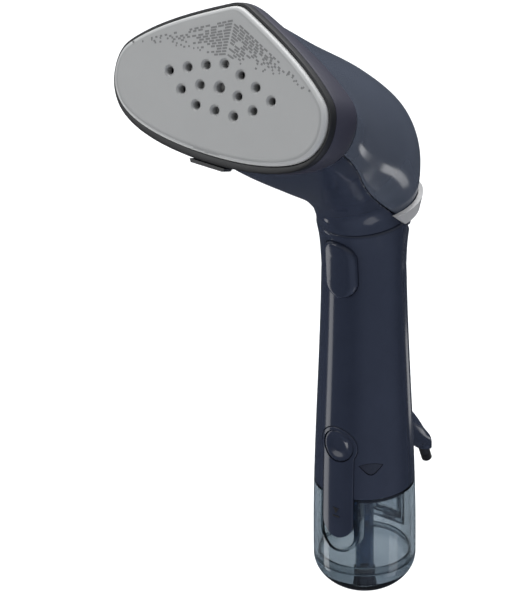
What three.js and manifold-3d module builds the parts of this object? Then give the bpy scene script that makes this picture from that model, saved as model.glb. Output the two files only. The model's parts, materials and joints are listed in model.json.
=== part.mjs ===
// Handheld garment steamer, in millimetres. +Z runs up the grip, the soleplate
// and the trigger face -Y. Apart from the small inset, the catch and some inner
// parts it is symmetrical about X = 0. The origin is the middle of the small
// flat under the water tank.

import * as THREE from "three";
import { mergeVertices } from "three/addons/utils/BufferGeometryUtils.js";
import Module from "manifold-3d";

const wasm = await Module();
wasm.setup();

// ---------------------------------------------------------------- dimensions

const GAP = 0.3; // running and joint gap between neighbouring pieces
const WALL = 2.2; // moulded shell thickness

// grip: a round barrel that swells towards the tank
const GRIP_TOP = 190.5; // front shell
const NECK_FROM = 165; // the barrel turns into the neck here
const GRIP_BOTTOM = 56;
const GRIP_R_TOP = 18.8;
const GRIP_R_LOW = 23.2;
const GRIP_TAPER_FROM = 26;
const GRIP_TAPER_TO = 177;
const PARTING_Y = 3.5; // the front and rear shells meet on this plane

// water tank: a tube with a domed foot, closed above by its own deck
const TANK_SEAM = 16;
const TANK_TOP = GRIP_BOTTOM - GAP;
const TANK_R = 23.2;
const TANK_WALL = 1.8;
const DOME_DEPTH = 17; // full depth of the ellipsoid that the flat cuts
const DECK = 2;

// front spine: a strip from the release button down to a tongue over the tank
const SPINE_HALF = 8;
const SPINE_TOP = 84;
const SPINE_END = 34.5;
const SPINE_PROUD = 0.25;
const BUTTON_Z = 81.5;
const BUTTON_R = 7.6;
const BUTTON_RIM = 9.4;

// steam trigger
const TRIGGER_LOW = 156.6;
const TRIGGER_HIGH = 185.6;
const TRIGGER_HALF = 8.2;
const TRIGGER_PROUD = 3;

// head: the soleplate's middle, its backward tilt and the layers behind it
const PLATE_Y = -107.5;
const PLATE_Z = 297.2;
const PLATE_TILT = 22.8; // degrees
const PLATE_THICK = 4.5;
const PLATE_BEVEL = 2;
const HALF_WIDTH = 53.8; // soleplate
const PLATE_TIP = 34.8; // from the middle hole up to the tip
const PLATE_FOOT = 28.7; // and down to the foot
const BEZEL_WIDTH = 1.5;
const BEZEL_FOOT = 1.9; // the bezel is this much wider below the plate's foot
const BEZEL_FRONT = 3;
const BEZEL_BACK = 7.2;
const SKIRT_BACK = 23;
const BOILER_INSET = 9;
const BOILER_FRONT = 6.8;
const BOILER_BACK = 21;

// cord boss on the back of the grip
const CORD_R = 1.7;
const BUSH_R = 2.4;
const BUSH_Y = 49.4;
const BUSH_Z = 44.6;
const BUSH_LEAN = 22; // degrees from straight down

// thumb lever: a band around the back of the neck that swings on two side pins
const LEVER_LOW = 191.6;
const LEVER_HIGH = 197.4;
const LEVER_ROOM = 0.45; // between the neck and the band
const LEVER_THICK = 2.2;
const LEVER_PIVOT_Y = 4;
const LEVER_PIVOT_Z = 194.5;
const LEVER_PIN_R = 1.4;

const ROUND = 36; // facets around the barrel and the neck
const RAD = Math.PI / 180;

// ----------------------------------------------------------------- materials

function paint(color, roughness, metalness = 0) {
  return new THREE.MeshStandardMaterial({ color, roughness, metalness });
}

const navyGloss = paint(0x2b3242, 0.22);
const slateGloss = paint(0x434a58, 0.18);
const navyMatte = paint(0x3b3a4c, 0.6);
const blackMatte = paint(0x17171a, 0.6);
const blackRubber = paint(0x111113, 0.85);
const plateGrey = paint(0xa9a9a7, 0.35, 0.6);
const leverGrey = paint(0xb8bcc0, 0.4);
const smokyClear = paint(0x8ea3b0, 0.1);
const castAlloy = paint(0x9a9a98, 0.55, 0.9);
const steel = paint(0xb9babd, 0.3, 1);
const brass = paint(0xb08d4a, 0.35, 1);
const silicone = paint(0xc9c6bd, 0.7);
const resin = paint(0x8a8172, 0.6);
const boardGreen = paint(0x1f5a3a, 0.5);
const copper = paint(0xa8643a, 0.4, 0.9);
const pumpGrey = paint(0x6d7074, 0.5);

// ------------------------------------------------------------------- helpers

const garmentSteamer = new THREE.Group();
garmentSteamer.name = "garment_steamer";

const head = new THREE.Group();
head.position.set(0, PLATE_Y, PLATE_Z);
head.rotation.x = (90 - PLATE_TILT) * RAD; // x across, y up the plate, z out of it
garmentSteamer.add(head);

/** Closed three.js geometry to a solid that can be cut and joined. */
function solid(geometry) {
  const bare = geometry.clone();
  for (const name of Object.keys(bare.attributes)) {
    if (name !== "position") bare.deleteAttribute(name);
  }
  const merged = mergeVertices(bare, 1e-4);
  const faces = [];
  const index = merged.index.array;
  for (let i = 0; i < index.length; i += 3) {
    const [a, b, c] = [index[i], index[i + 1], index[i + 2]];
    if (a !== b && b !== c && c !== a) faces.push(a, b, c);
  }
  return new wasm.Manifold(new wasm.Mesh({
    numProp: 3,
    vertProperties: new Float32Array(merged.attributes.position.array),
    triVerts: new Uint32Array(faces),
  }));
}

/** Solid back to a three.js geometry. */
function geometryOf(body) {
  const mesh = body.getMesh();
  const geometry = new THREE.BufferGeometry();
  const points = new Float32Array(mesh.vertProperties);
  geometry.setAttribute("position", new THREE.BufferAttribute(points, 3));
  geometry.setIndex(Array.from(mesh.triVerts));
  geometry.computeVertexNormals();
  return geometry;
}

function add(name, body, material, parent = garmentSteamer) {
  const mesh = new THREE.Mesh(geometryOf(body), material);
  mesh.name = name;
  parent.add(mesh);
  return mesh;
}

/** Solid of revolution about Z from [radius, z] pairs. */
function turned(profile, segments = 40) {
  const points = profile.map(([r, z]) => new THREE.Vector2(r, z));
  const geometry = new THREE.LatheGeometry(points, segments);
  geometry.rotateX(Math.PI / 2);
  const body = solid(geometry);
  return body.volume() < 0 ? turned([...profile].reverse(), segments) : body;
}

function cylinder(radius, low, high, segments = 24) {
  return turned([[0, low], [radius, low], [radius, high], [0, high]], segments);
}

function tube(outer, inner, low, high, segments = 32) {
  return turned(
    [[inner, low], [outer, low], [outer, high], [inner, high], [inner, low]],
    segments,
  );
}

function box(sizeX, sizeY, sizeZ, x = 0, y = 0, z = 0) {
  const geometry = new THREE.BoxGeometry(sizeX, sizeY, sizeZ);
  geometry.translate(x, y, z);
  return solid(geometry);
}

/** Outline drawn in X and Z, swept along Y from near to far. */
function sweptY(shape, near, far, curveSegments = 10) {
  const geometry = new THREE.ExtrudeGeometry(shape, {
    depth: far - near, bevelEnabled: false, curveSegments,
  });
  geometry.rotateX(Math.PI / 2);
  geometry.translate(0, far, 0);
  return solid(geometry);
}

/** Outline drawn in Y and Z, swept across X between -half and half. */
function sweptX(shape, half, x = 0) {
  const geometry = new THREE.ExtrudeGeometry(shape, {
    depth: 2 * half, bevelEnabled: false, curveSegments: 8,
  });
  geometry.translate(0, 0, -half);
  const turn = new THREE.Matrix4().makeBasis(
    new THREE.Vector3(0, 1, 0), new THREE.Vector3(0, 0, 1), new THREE.Vector3(1, 0, 0),
  );
  geometry.applyMatrix4(turn);
  geometry.translate(x, 0, 0);
  return solid(geometry);
}

/** Outline drawn in X and Y, swept along Z. */
function sweptZ(shape, low, high, curveSegments = 10) {
  const geometry = new THREE.ExtrudeGeometry(shape, {
    depth: high - low, bevelEnabled: false, curveSegments,
  });
  geometry.translate(0, 0, low);
  return solid(geometry);
}

function polygon(points) {
  return new THREE.Shape(points.map(([x, y]) => new THREE.Vector2(x, y)));
}

/** Upright slot with round ends, between low and high. */
function slot(half, low, high) {
  const shape = new THREE.Shape();
  shape.moveTo(half, low + half);
  shape.lineTo(half, high - half);
  shape.absarc(0, high - half, half, 0, Math.PI, false);
  shape.lineTo(-half, low + half);
  shape.absarc(0, low + half, half, Math.PI, 2 * Math.PI, false);
  return shape;
}

function disc(radius, x = 0, y = 0) {
  const shape = new THREE.Shape();
  shape.absarc(x, y, radius, 0, 2 * Math.PI, false);
  return shape;
}

function sweptTube(points, outer, inner, steps, sides = 8) {
  const ring = disc(outer);
  if (inner > 0) ring.holes.push(new THREE.Path().absarc(0, 0, inner, 0, 2 * Math.PI, true));
  const route = new THREE.CatmullRomCurve3(points.map((p) => new THREE.Vector3(...p)));
  return solid(new THREE.ExtrudeGeometry(ring, {
    steps, extrudePath: route, curveSegments: sides / 2, bevelEnabled: false,
  }));
}

/** Closed solid through a row of rings that all have the same number of points. */
function loft(rings) {
  const count = rings[0].length;
  const points = [];
  for (const ring of rings) for (const p of ring) points.push(p.x, p.y, p.z);
  const faces = [];
  for (let i = 0; i + 1 < rings.length; i += 1) {
    for (let j = 0; j < count; j += 1) {
      const k = (j + 1) % count;
      const [a, b, c, d] = [i * count + j, i * count + k, (i + 1) * count + j, (i + 1) * count + k];
      faces.push(a, c, b, b, c, d);
    }
  }
  for (const [row, flip] of [[0, false], [rings.length - 1, true]]) {
    const middle = new THREE.Vector3();
    for (const p of rings[row]) middle.addScaledVector(p, 1 / count);
    const hub = points.length / 3;
    points.push(middle.x, middle.y, middle.z);
    for (let j = 0; j < count; j += 1) {
      const here = row * count + j;
      const next = row * count + ((j + 1) % count);
      if (flip) faces.push(hub, next, here);
      else faces.push(hub, here, next);
    }
  }
  const geometry = new THREE.BufferGeometry();
  geometry.setAttribute("position", new THREE.Float32BufferAttribute(points, 3));
  geometry.setIndex(faces);
  return solid(geometry);
}

function spring(axisFrom, length, radius, wire, turns) {
  const points = [];
  const steps = turns * 8;
  for (let i = 0; i <= steps; i += 1) {
    const turn = (2 * Math.PI * turns * i) / steps;
    points.push([
      axisFrom[0] + radius * Math.cos(turn),
      axisFrom[1] + (length * i) / steps,
      axisFrom[2] + radius * Math.sin(turn),
    ]);
  }
  return sweptTube(points, wire, 0, steps, 4);
}

/** Screw with its head at the top, standing on the given point, pointing down -Z. */
function screw(headRadius, shankRadius, length) {
  const body = turned([
    [0, 0], [headRadius, 0], [headRadius, 1.2], [headRadius * 0.7, 1.8], [0, 1.8],
  ], 10).add(cylinder(shankRadius, -length, 0.1, 6));
  return body.subtract(box(headRadius * 1.3, 0.7, 1, 0, 0, 1.8));
}

/** Places a body modelled about Z: turned about X by an angle, then moved. */
function placed(body, angleX, x, y, z) {
  return body.rotate([angleX, 0, 0]).translate([x, y, z]);
}

// ------------------------------------------------------------ grip and neck

/** Outer radius of the barrel at a height. */
function gripRadius(z) {
  const s = THREE.MathUtils.smoothstep(z, GRIP_TAPER_FROM, GRIP_TAPER_TO);
  return THREE.MathUtils.lerp(GRIP_R_LOW, GRIP_R_TOP, s);
}

/** Barrel between two heights, grown or shrunk by an offset. */
function barrel(low, high, offset, rows = 5) {
  const profile = [[0, low]];
  for (let i = 0; i <= rows; i += 1) {
    const z = THREE.MathUtils.lerp(low, high, i / rows);
    profile.push([gripRadius(z) + offset, z]);
  }
  profile.push([0, high]);
  return turned(profile, ROUND);
}

/** Rounded triangle of the soleplate as points, starting at the tip, clockwise. */
function plateOutline(count, grow = 0) {
  const side = new THREE.CurvePath();
  const at = (x, y) => new THREE.Vector2(x, y);
  const tip = PLATE_TIP;
  const foot = -PLATE_FOOT;
  const corner = HALF_WIDTH - 0.4;
  side.add(new THREE.CubicBezierCurve(at(0, tip), at(2.2, tip), at(3.6, 34), at(5, 33.3)));
  side.add(new THREE.CubicBezierCurve(at(5, 33.3), at(22, 25.6), at(39, 17), at(49.6, 6.2)));
  side.add(new THREE.CubicBezierCurve(
    at(49.6, 6.2), at(corner, 2.2), at(HALF_WIDTH + 1, -8.5), at(49.5, -15.4),
  ));
  side.add(new THREE.CubicBezierCurve(at(49.5, -15.4), at(43, -25.6), at(20, foot), at(0, foot)));
  const half = side.getSpacedPoints(count / 2);
  const points = half.slice(0, -1).concat(half.slice(1).reverse().map((p) => at(-p.x, p.y)));
  return points.map((p, j) => {
    const before = points[(j + count - 1) % count];
    const after = points[(j + 1) % count];
    const run = after.clone().sub(before).normalize();
    return at(p.x - run.y * grow, p.y + run.x * grow);
  });
}

// Stations of the outer skin from the barrel to the back of the skirt: the middle
// of the section, the tilt of its plane, half width, reach to the ridge and to
// the chin, and how round it is (0 = outline of the plate, 1 = ellipse).
const NECK_STATIONS = [
  { y: 0, z: NECK_FROM, tilt: 0, half: GRIP_R_TOP, ridge: GRIP_R_TOP, chin: GRIP_R_TOP, round: 1 },
  { y: 0, z: 178, tilt: 0, half: 19.4, ridge: 19.8, chin: 19.8, round: 1 },
  { y: 1, z: 190, tilt: 1, half: 20.1, ridge: 23.4, chin: 24.8, round: 1 },
  { y: 3, z: 200, tilt: 8, half: 20.8, ridge: 27.2, chin: 29.8, round: 1 },
  { y: -1, z: 211, tilt: 20, half: 22.6, ridge: 31.6, chin: 29.3, round: 1 },
  { y: -14, z: 224.5, tilt: 32, half: 27, ridge: 35, chin: 27, round: 1 },
  { y: -35, z: 241.5, tilt: 43, half: 34.5, ridge: 36.2, chin: 27, round: 0.8 },
  { y: -58, z: 262, tilt: 54, half: 45.5, ridge: 33, chin: 29.5, round: 0.45 },
  { y: -76, z: 279, tilt: 62.5, half: 53.5, ridge: 31.2, chin: 30.6, round: 0.12 },
  { y: -86.3, z: 288.3, tilt: 67.2, half: 56.2, ridge: 31, chin: 30.6, round: 0 },
];

function stationAt(t) {
  const last = NECK_STATIONS.length - 1;
  const place = Math.min(t * last, last - 1e-6);
  const i = Math.floor(place);
  const f = place - i;
  const pick = (k) => NECK_STATIONS[Math.min(Math.max(k, 0), last)];
  const result = {};
  for (const key of Object.keys(NECK_STATIONS[0])) {
    const [a, b, c, d] = [pick(i - 1)[key], pick(i)[key], pick(i + 1)[key], pick(i + 2)[key]];
    result[key] = b + 0.5 * f * (c - a + f * (2 * a - 5 * b + 4 * c - d + f * (3 * (b - c) + d - a)));
  }
  return result;
}

/** Ring of a section; inset thins it all round and pinch narrows its width. */
function sectionRing(station, inset, pinch, count) {
  const { y, z, tilt, half, ridge, chin, round } = station;
  return plateOutline(count).map((p, j) => {
    const turn = (2 * Math.PI * j) / count;
    const wide = half - inset - pinch;
    const reach = (p.y > 0 ? ridge : chin) - inset;
    const swing = (Math.cos(turn) > 0 ? ridge : chin) - inset;
    const x = THREE.MathUtils.lerp((p.x / HALF_WIDTH) * wide, wide * Math.sin(turn), round);
    const flat = (p.y > 0 ? p.y / PLATE_TIP : p.y / PLATE_FOOT) * reach;
    const v = THREE.MathUtils.lerp(flat, swing * Math.cos(turn), round);
    return new THREE.Vector3(x, y + v * Math.cos(tilt * RAD), z + v * Math.sin(tilt * RAD));
  });
}

/** Solid inside the neck's skin, run on past its lower and its upper end. */
function neckSolid(inset, below, beyond, pinchDepth = 0, rows = 14) {
  const rings = [];
  for (let i = 0; i <= rows; i += 1) {
    const station = stationAt(i / rows);
    const pinch = pinchDepth * Math.exp(-(((station.z - WAIST_Z) / WAIST_SPREAD) ** 2));
    rings.push(sectionRing(station, inset, pinch, ROUND));
  }
  rings.unshift(rings[0].map((p) => p.clone().setZ(p.z - below)));
  if (beyond > 0) {
    const out = new THREE.Vector3(0, -Math.cos(PLATE_TILT * RAD), Math.sin(PLATE_TILT * RAD));
    rings.push(rings[rings.length - 1].map((p) => p.clone().addScaledVector(out, beyond)));
  }
  return loft(rings);
}

const WAIST_Z = 198; // the sides of the chin are pinched in around this height
const WAIST_SPREAD = 11;
const WAIST_PINCH = 0.9;

// The back cover meets the shells and the chin cover on a seam that rises from
// the lever, behind the grip, to the lower corner of the skirt.
const SEAM_SLOPE = -0.87;
const SEAM_Y = 3.5;
const SEAM_Z = 190.5;

/** Everything below the seam lowered by drop, seen from the side. */
function belowSeam(drop) {
  const at = (y) => SEAM_Z - drop + SEAM_SLOPE * (y - SEAM_Y);
  return sweptX(polygon([[-160, at(-160)], [-160, 20], [80, 20], [80, at(80)]]), 90);
}

function aboveSeam() {
  const at = (y) => SEAM_Z + SEAM_SLOPE * (y - SEAM_Y);
  return sweptX(polygon([[-160, at(-160)], [80, at(80)], [80, 420], [-160, 420]]), 90);
}

const between = (near, far) => box(140, far - near, 440, 0, (near + far) / 2, 200);
const overZ = (low, high) => box(140, 300, high - low, 0, 0, (low + high) / 2);

const spineOutline = (grow) => slot(SPINE_HALF + grow, SPINE_END - grow, SPINE_TOP + grow);
const buttonOutline = (radius) => disc(radius, 0, BUTTON_Z);
const triggerOutline = (grow) =>
  slot(TRIGGER_HALF + grow, TRIGGER_LOW - grow, TRIGGER_HIGH + grow);

const SHELL_SCREW_Z = [102, 128, 152];

function buildShells() {
  const skin = barrel(GRIP_BOTTOM, NECK_FROM, 0).add(neckSolid(0, 0.5, 0));
  const hollow = barrel(GRIP_BOTTOM - 1, NECK_FROM, -WALL).add(neckSolid(WALL, 3, 3));
  const shell = skin.subtract(hollow);

  const spineSeat = sweptY(spineOutline(GAP), -40, 0)
    .add(sweptY(buttonOutline(BUTTON_RIM + GAP), -40, 0))
    .subtract(barrel(GRIP_BOTTOM - 30, NECK_FROM, -1.3, 8));
  const front = shell.intersect(between(-60, PARTING_Y - GAP / 2))
    .intersect(overZ(GRIP_BOTTOM, GRIP_TOP)).intersect(belowSeam(GAP))
    .subtract(spineSeat)
    .subtract(sweptY(triggerOutline(GAP), -40, 0))
    .subtract(sweptY(buttonOutline(BUTTON_R + GAP), -40, 0))
    .subtract(sweptY(slot(3.4, 46, BUTTON_Z - 5), -20.3, 0))
    .subtract(insetTool(GAP, 3));
  add("handle_front_shell", front, navyGloss);

  let rear = shell.intersect(between(PARTING_Y + GAP / 2, 60))
    .intersect(overZ(GRIP_BOTTOM, 260)).intersect(belowSeam(GAP))
    .subtract(bossPassage());
  for (const z of SHELL_SCREW_Z) {
    rear = rear.subtract(placed(cylinder(1.5, 0, 40, 12), -90, 0, 0, z));
    rear = rear.subtract(placed(cylinder(2.2, 0, 40, 12), -90, 0, gripRadius(z) - 1.2, z));
  }
  add("handle_rear_shell", rear, navyGloss);

  const cover = shell.intersect(aboveSeam()).subtract(leverPins(LEVER_PIN_R + GAP, 26));
  add("back_cover", cover, slateGloss);

  const chin = neckSolid(0, 0.5, 0, WAIST_PINCH).subtract(neckSolid(WALL, 3, 3, WAIST_PINCH))
    .intersect(overZ(GRIP_TOP + GAP, 400)).intersect(belowSeam(GAP));
  add("chin_cover", chin, navyGloss);

  SHELL_SCREW_Z.forEach((z, i) => {
    const seat = gripRadius(z) - 0.9;
    add(`shell_screw_${i + 1}`, placed(screw(1.8, 1.1, 7), -90, 0, seat, z), steel);
  });
}

// small lens-shaped inset low on the right of the grip
const INSET_ANGLE = 41.5;
const INSET_Z = 71.6;
const INSET_HALF_WIDE = 5.3;
const INSET_HALF_HIGH = 3.1;

/** Prism along the barrel's radius that the inset is cut with. */
function insetTool(grow, depth) {
  const [a, b] = [INSET_HALF_WIDE + grow, INSET_HALF_HIGH + grow];
  const shape = new THREE.Shape();
  shape.moveTo(-a, b * 0.5);
  shape.quadraticCurveTo(0, b * 1.3, a, b * 0.5);
  shape.bezierCurveTo(a * 0.7, -b * 1.4, -a * 0.7, -b * 1.4, -a, b * 0.5);
  return sweptY(shape, -gripRadius(INSET_Z) - 2, -gripRadius(INSET_Z) + depth, 4)
    .rotate([0, 0, INSET_ANGLE]).translate([0, 0, INSET_Z]);
}

function buildInset() {
  const low = INSET_Z - 8;
  const high = INSET_Z + 8;
  add("grip_inset", insetTool(0, 1.6).intersect(barrel(low, high, 0.1, 2)), blackMatte);
}

function buildSpine() {
  const low = SPINE_END - 6;
  const high = SPINE_TOP + 14;
  const strip = sweptY(spineOutline(0), -40, 0).add(sweptY(buttonOutline(BUTTON_RIM), -40, 0));
  const skin = barrel(low, high, SPINE_PROUD, 6).intersect(strip);
  const upper = skin.subtract(barrel(low - 2, high + 2, -1, 6));
  const tongue = skin.subtract(barrel(low - 2, high + 2, -2.6, 6))
    .intersect(overZ(0, GRIP_BOTTOM - 0.6));
  const spine = upper.add(tongue).subtract(sweptY(buttonOutline(BUTTON_R + GAP), -40, 0));
  add("front_spine", spine, navyGloss);
}

// ------------------------------------------------------- trigger and buttons

function buildTrigger() {
  const middle = (TRIGGER_LOW + TRIGGER_HIGH) / 2;
  const face = -GRIP_R_TOP - TRIGGER_PROUD;
  const pad = sweptY(triggerOutline(0), face - 3, -GRIP_R_TOP + 1, 6);
  const crown = turned([
    [0, -60], [-face - 1.2, -60], [-face, 0], [-face + 9, 60], [0, 60],
  ], ROUND).translate([0, 0, middle]);
  const neck = sweptY(triggerOutline(-1), -GRIP_R_TOP + 0.9, -13, 6);
  const flange = sweptY(slot(TRIGGER_HALF + 1, TRIGGER_LOW - 1, TRIGGER_HIGH + 1), -13.6, -12.2, 6)
    .intersect(cylinder(GRIP_R_TOP - WALL - 0.5, 100, 200, ROUND));
  const plunger = box(5, 5, 4, 0, -10, middle + 2);
  add("steam_trigger", pad.intersect(crown).add(neck).add(flange).add(plunger), navyGloss);

  add("trigger_spring", spring([0, -11.6, TRIGGER_LOW + 6], 11.3, 2.4, 0.4, 4), steel);
  add("trigger_switch", box(12.8, 5, 6.4, 0, -2.3, middle + 2), blackMatte);
}

function buildRelease() {
  const face = -gripRadius(BUTTON_Z) - 0.1;
  const dish = turned([[0, -1.5], [6.2, -1.5], [5.6, 0.1], [3.4, 1], [0, 1.3]], 20);
  const cap = placed(cylinder(BUTTON_R, 0, -face - 14.6, 28).subtract(dish), -90, 0, face, BUTTON_Z);
  const collar = placed(cylinder(BUTTON_R + 1.2, 0, 1.4, 28), -90, 0, -16.4, BUTTON_Z)
    .intersect(barrel(60, 100, -WALL - 0.5, 2));
  add("release_button", cap.add(collar), navyMatte);
  add("button_spring", spring([0, -14.1, BUTTON_Z + 3], 9, 2.8, 0.4, 3), steel);
  add("button_carrier", box(34, 1.6, 11, 0, -3.6, BUTTON_Z + 3), blackMatte);

  const lowest = 45;
  const arm = BUTTON_Z - BUTTON_R - 2.6;
  const finger = box(5.6, 1.8, arm - lowest, 0, -17.2, (arm + lowest) / 2)
    .add(box(5.6, 2.4, 2.4, 0, -18.2, lowest + 1.2))
    .add(box(5.6, 4.8, 1.8, 0, -15.4, arm - 0.9))
    .add(box(5.6, 1.6, BUTTON_Z - 1 - arm, 0, -13.5, (BUTTON_Z - 1 + arm - 1.8) / 2));
  add("tank_latch", finger, blackMatte);
}

// ------------------------------------------------------------------ the tank

const POCKET_END = 28; // lowest point of the pocket that the tongue lies in
const WELL_BACK = -13.2; // inner face of the well that the latch works in
const WELL_HALF = 4.4;
const WELL_LOW = 43;
const FLAP_LOW = 25.6;
const FLAP_HIGH = 40;
const FLAP_HALF = 8;
const FLAP_Z = (FLAP_LOW + FLAP_HIGH) / 2;
const FLAP_TALL = FLAP_HIGH - FLAP_LOW;
const HINGE_Y = TANK_R + 0.8;
const HINGE_Z = 24.2;
const KNUCKLE_R = 1.3;

function buildTank() {
  const outer = barrel(TANK_SEAM + GAP, TANK_TOP, 0, 3);
  const hollow = barrel(TANK_SEAM - 1, TANK_TOP - DECK, -TANK_WALL, 3);
  const pocket = (grow) => sweptY(slot(SPINE_HALF + 0.5 + grow, POCKET_END - grow, 90), -40, 0)
    .subtract(barrel(10, 100, -3.1 - grow, 4));
  const well = (grow) => box(
    2 * (WELL_HALF + grow), 30, 40, 0, WELL_BACK + grow - 15, WELL_LOW - grow + 20,
  ).intersect(barrel(10, 60, -1, 3));
  const doorway = box(2 * FLAP_HALF - 4, 20, FLAP_TALL - 5, 0, 20, FLAP_Z);
  const seat = box(2 * (FLAP_HALF + GAP), 20, FLAP_TALL + 2 * GAP, 0, TANK_R + 7, FLAP_Z)
    .subtract(barrel(10, 60, -2, 3));
  const pad = box(2 * FLAP_HALF + 4, 12, FLAP_TALL + 4, 0, TANK_R + 0.6, FLAP_Z);
  const body = outer.subtract(hollow)
    .add(outer.intersect(pocket(1.5)))
    .add(outer.intersect(well(1.5)))
    .add(outer.intersect(pad))
    .subtract(pocket(0)).subtract(well(0)).subtract(doorway).subtract(seat)
    .subtract(cylinder(7.2, 40, 60, 24))
    .subtract(hingeRod(KNUCKLE_R + GAP, 3.3));
  const lugs = hingeRod(KNUCKLE_R, 5.6).subtract(box(6.6, 8, 8, 0, HINGE_Y, HINGE_Z));
  add("tank_body", body.add(lugs).subtract(hingeRod(0.75, 9)), smokyClear);

  const dome = [];
  const cavity = [];
  const rows = 6;
  for (let i = 0; i <= rows; i += 1) {
    const turn = (i / rows) * 90 * RAD;
    const lowest = Math.asin(TANK_SEAM / DOME_DEPTH);
    const lean = lowest * (1 - i / rows);
    dome.push([TANK_R * Math.cos(lean), TANK_SEAM - DOME_DEPTH * Math.sin(lean)]);
    cavity.push([
      (TANK_R - TANK_WALL) * Math.sin(turn),
      TANK_SEAM - (TANK_SEAM - TANK_WALL) * Math.cos(turn),
    ]);
  }
  const shell = turned([[0, 0], ...dome, [0, TANK_SEAM]], ROUND)
    .subtract(turned([...cavity, [TANK_R - TANK_WALL, TANK_SEAM + 1], [0, TANK_SEAM + 1]], ROUND));
  add("tank_dome", shell, smokyClear);

  add("tank_coupling", tube(6.9, 4.5, 47, TANK_TOP, 20), pumpGrey);
  add("suction_tube", tube(4.2, 2.6, 7.4, 47 - GAP, 16), smokyClear);
  let filter = turned([[0, 2.4], [5, 2.4], [5, 7.1], [0, 7.1]], 16).subtract(cylinder(3.8, 3.6, 8, 16));
  for (let i = 0; i < 2; i += 1) {
    filter = filter.subtract(box(12, 1.6, 1.6, 0, 0, 4.9).rotate([0, 0, 90 * i]));
  }
  add("intake_filter", filter, blackMatte);
}

/** Rod along the flap's hinge line. */
function hingeRod(radius, half) {
  return cylinder(radius, -half, half, 10).rotate([0, 90, 0]).translate([0, HINGE_Y, HINGE_Z]);
}

function buildFiller() {
  const leaf = box(2 * FLAP_HALF, 12, FLAP_TALL, 0, TANK_R + 3, FLAP_Z)
    .subtract(barrel(10, 60, -1.6, 3)).intersect(barrel(10, 60, 0.4, 3));
  const plug = box(2 * FLAP_HALF - 5, 2.4, FLAP_TALL - 7.4, 0, TANK_R - 2.4, FLAP_Z);
  const lip = box(7, 2, 1.4, 0, TANK_R + 0.8, FLAP_HIGH - 1.2);
  const web = box(6, 0.9, 2.2, 0, HINGE_Y - 0.45, HINGE_Z + 1.1);
  const flap = leaf.add(plug).add(lip).add(web).add(hingeRod(KNUCKLE_R, 3));
  add("filler_flap", flap.subtract(hingeRod(0.75, 9)), smokyClear);
  add("flap_pin", hingeRod(0.45, 5.4), steel);
}

// ---------------------------------------------------------- inside the grip

function buildBase() {
  const plate = barrel(GRIP_BOTTOM + 0.6, GRIP_BOTTOM + 3.6, -WALL - GAP, 1)
    .subtract(cylinder(3.9, 40, 80, 20))
    .subtract(box(2 * WELL_HALF, 12, 20, 0, WELL_BACK - 6, GRIP_BOTTOM + 2));
  add("handle_base", plate, blackMatte);
  const nipple = turned([
    [1.8, 50], [3.2, 50], [3.2, 52], [2.8, 52], [2.8, 53.6], [3.6, 53.6],
    [3.6, GRIP_BOTTOM + 4], [5.4, GRIP_BOTTOM + 4], [5.4, 61.6], [3, 61.6], [3, 70], [1.8, 70],
    [1.8, 50],
  ], 20);
  add("inlet_nipple", nipple, blackMatte);
  add("nipple_seal", tube(4.1, 3.1, 52.3, 53.3, 20), blackRubber);
}

const PUMP_Y = 5;

function buildPump() {
  const body = turned([
    [1.2, 93], [2.4, 93], [2.4, 98], [6.5, 98], [6.5, 142], [2.4, 142], [2.4, 146], [1.2, 146], [1.2, 93],
  ], 20);
  add("water_pump", body.translate([0, PUMP_Y, 0]), pumpGrey);
  add("pump_coil", tube(9.6, 6.9, 106, 124, 24).translate([0, PUMP_Y, 0]), copper);
  add("inlet_hose", sweptTube(
    [[0, 0, 70.3], [0, 0.2, 76], [0, 4, 86], [0, PUMP_Y, 92.5]], 3, 1.9, 7,
  ), silicone);
  add("outlet_hose", sweptTube([
    [0, PUMP_Y, 146.3], [0, PUMP_Y, 160], [0, PUMP_Y, 182], [0, 2, 202], [0, -18, 229],
    [0, -48, 255], [0, -74, 268.8], [0, -86, 274],
  ], 2.5, 0, 20), silicone);
}

function buildElectrics() {
  add("circuit_board", box(22, 1.4, 36, 0, 1.1, 166), boardGreen);
  add("lever_switch", box(12.8, 5.6, 6, 0, 12.2, 164), blackMatte);
  add("terminal_block", box(13, 7, 9, 0, 12.4, 90), pumpGrey);
  let clamp = box(16, 2.4, 5, 0, 13.6, 67);
  for (const side of [-1, 1]) {
    const body = placed(screw(1.8, 1, 3.4), 90, 5.2 * side, 12.4 - GAP, 67);
    clamp = clamp.subtract(placed(cylinder(1.4, -6, 6, 8), 90, 5.2 * side, 13.6, 67));
    add(side < 0 ? "clamp_screw_left" : "clamp_screw_right", body, steel);
  }
  add("cord_clamp", clamp, pumpGrey);
}

// ------------------------------------------------------------- the cord boss

/** Elliptical ring in a plane that leans about X. */
function ovalRing(y, z, lean, halfX, halfV, count = 20) {
  const ring = [];
  for (let j = 0; j < count; j += 1) {
    const turn = (2 * Math.PI * j) / count;
    const v = halfV * Math.cos(turn);
    ring.push(new THREE.Vector3(
      halfX * Math.sin(turn), y + v * Math.cos(lean * RAD), z + v * Math.sin(lean * RAD),
    ));
  }
  return ring;
}

// rings of the boss from its mouth to its root: the middle, the lean of the
// ring, half width and half depth
const BOSS_RINGS = [
  { y: 48.7, z: 46, lean: -14, wide: 3.9, deep: 3.9 },
  { y: 46.3, z: 51.4, lean: 5, wide: 4.9, deep: 5 },
  { y: 39.5, z: 56.8, lean: 25, wide: 5.9, deep: 6.6 },
  { y: 31, z: 64, lean: 45, wide: 6.8, deep: 9.5 },
  { y: 16, z: 75, lean: 60, wide: 7.6, deep: 14.5 },
];

/** The way for the cord from the mouth into the grip. */
function bossPassage() {
  return loft(BOSS_RINGS.slice(2).map((r) => ovalRing(r.y, r.z, r.lean, r.wide - 1.8, r.deep - 3)));
}

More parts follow.
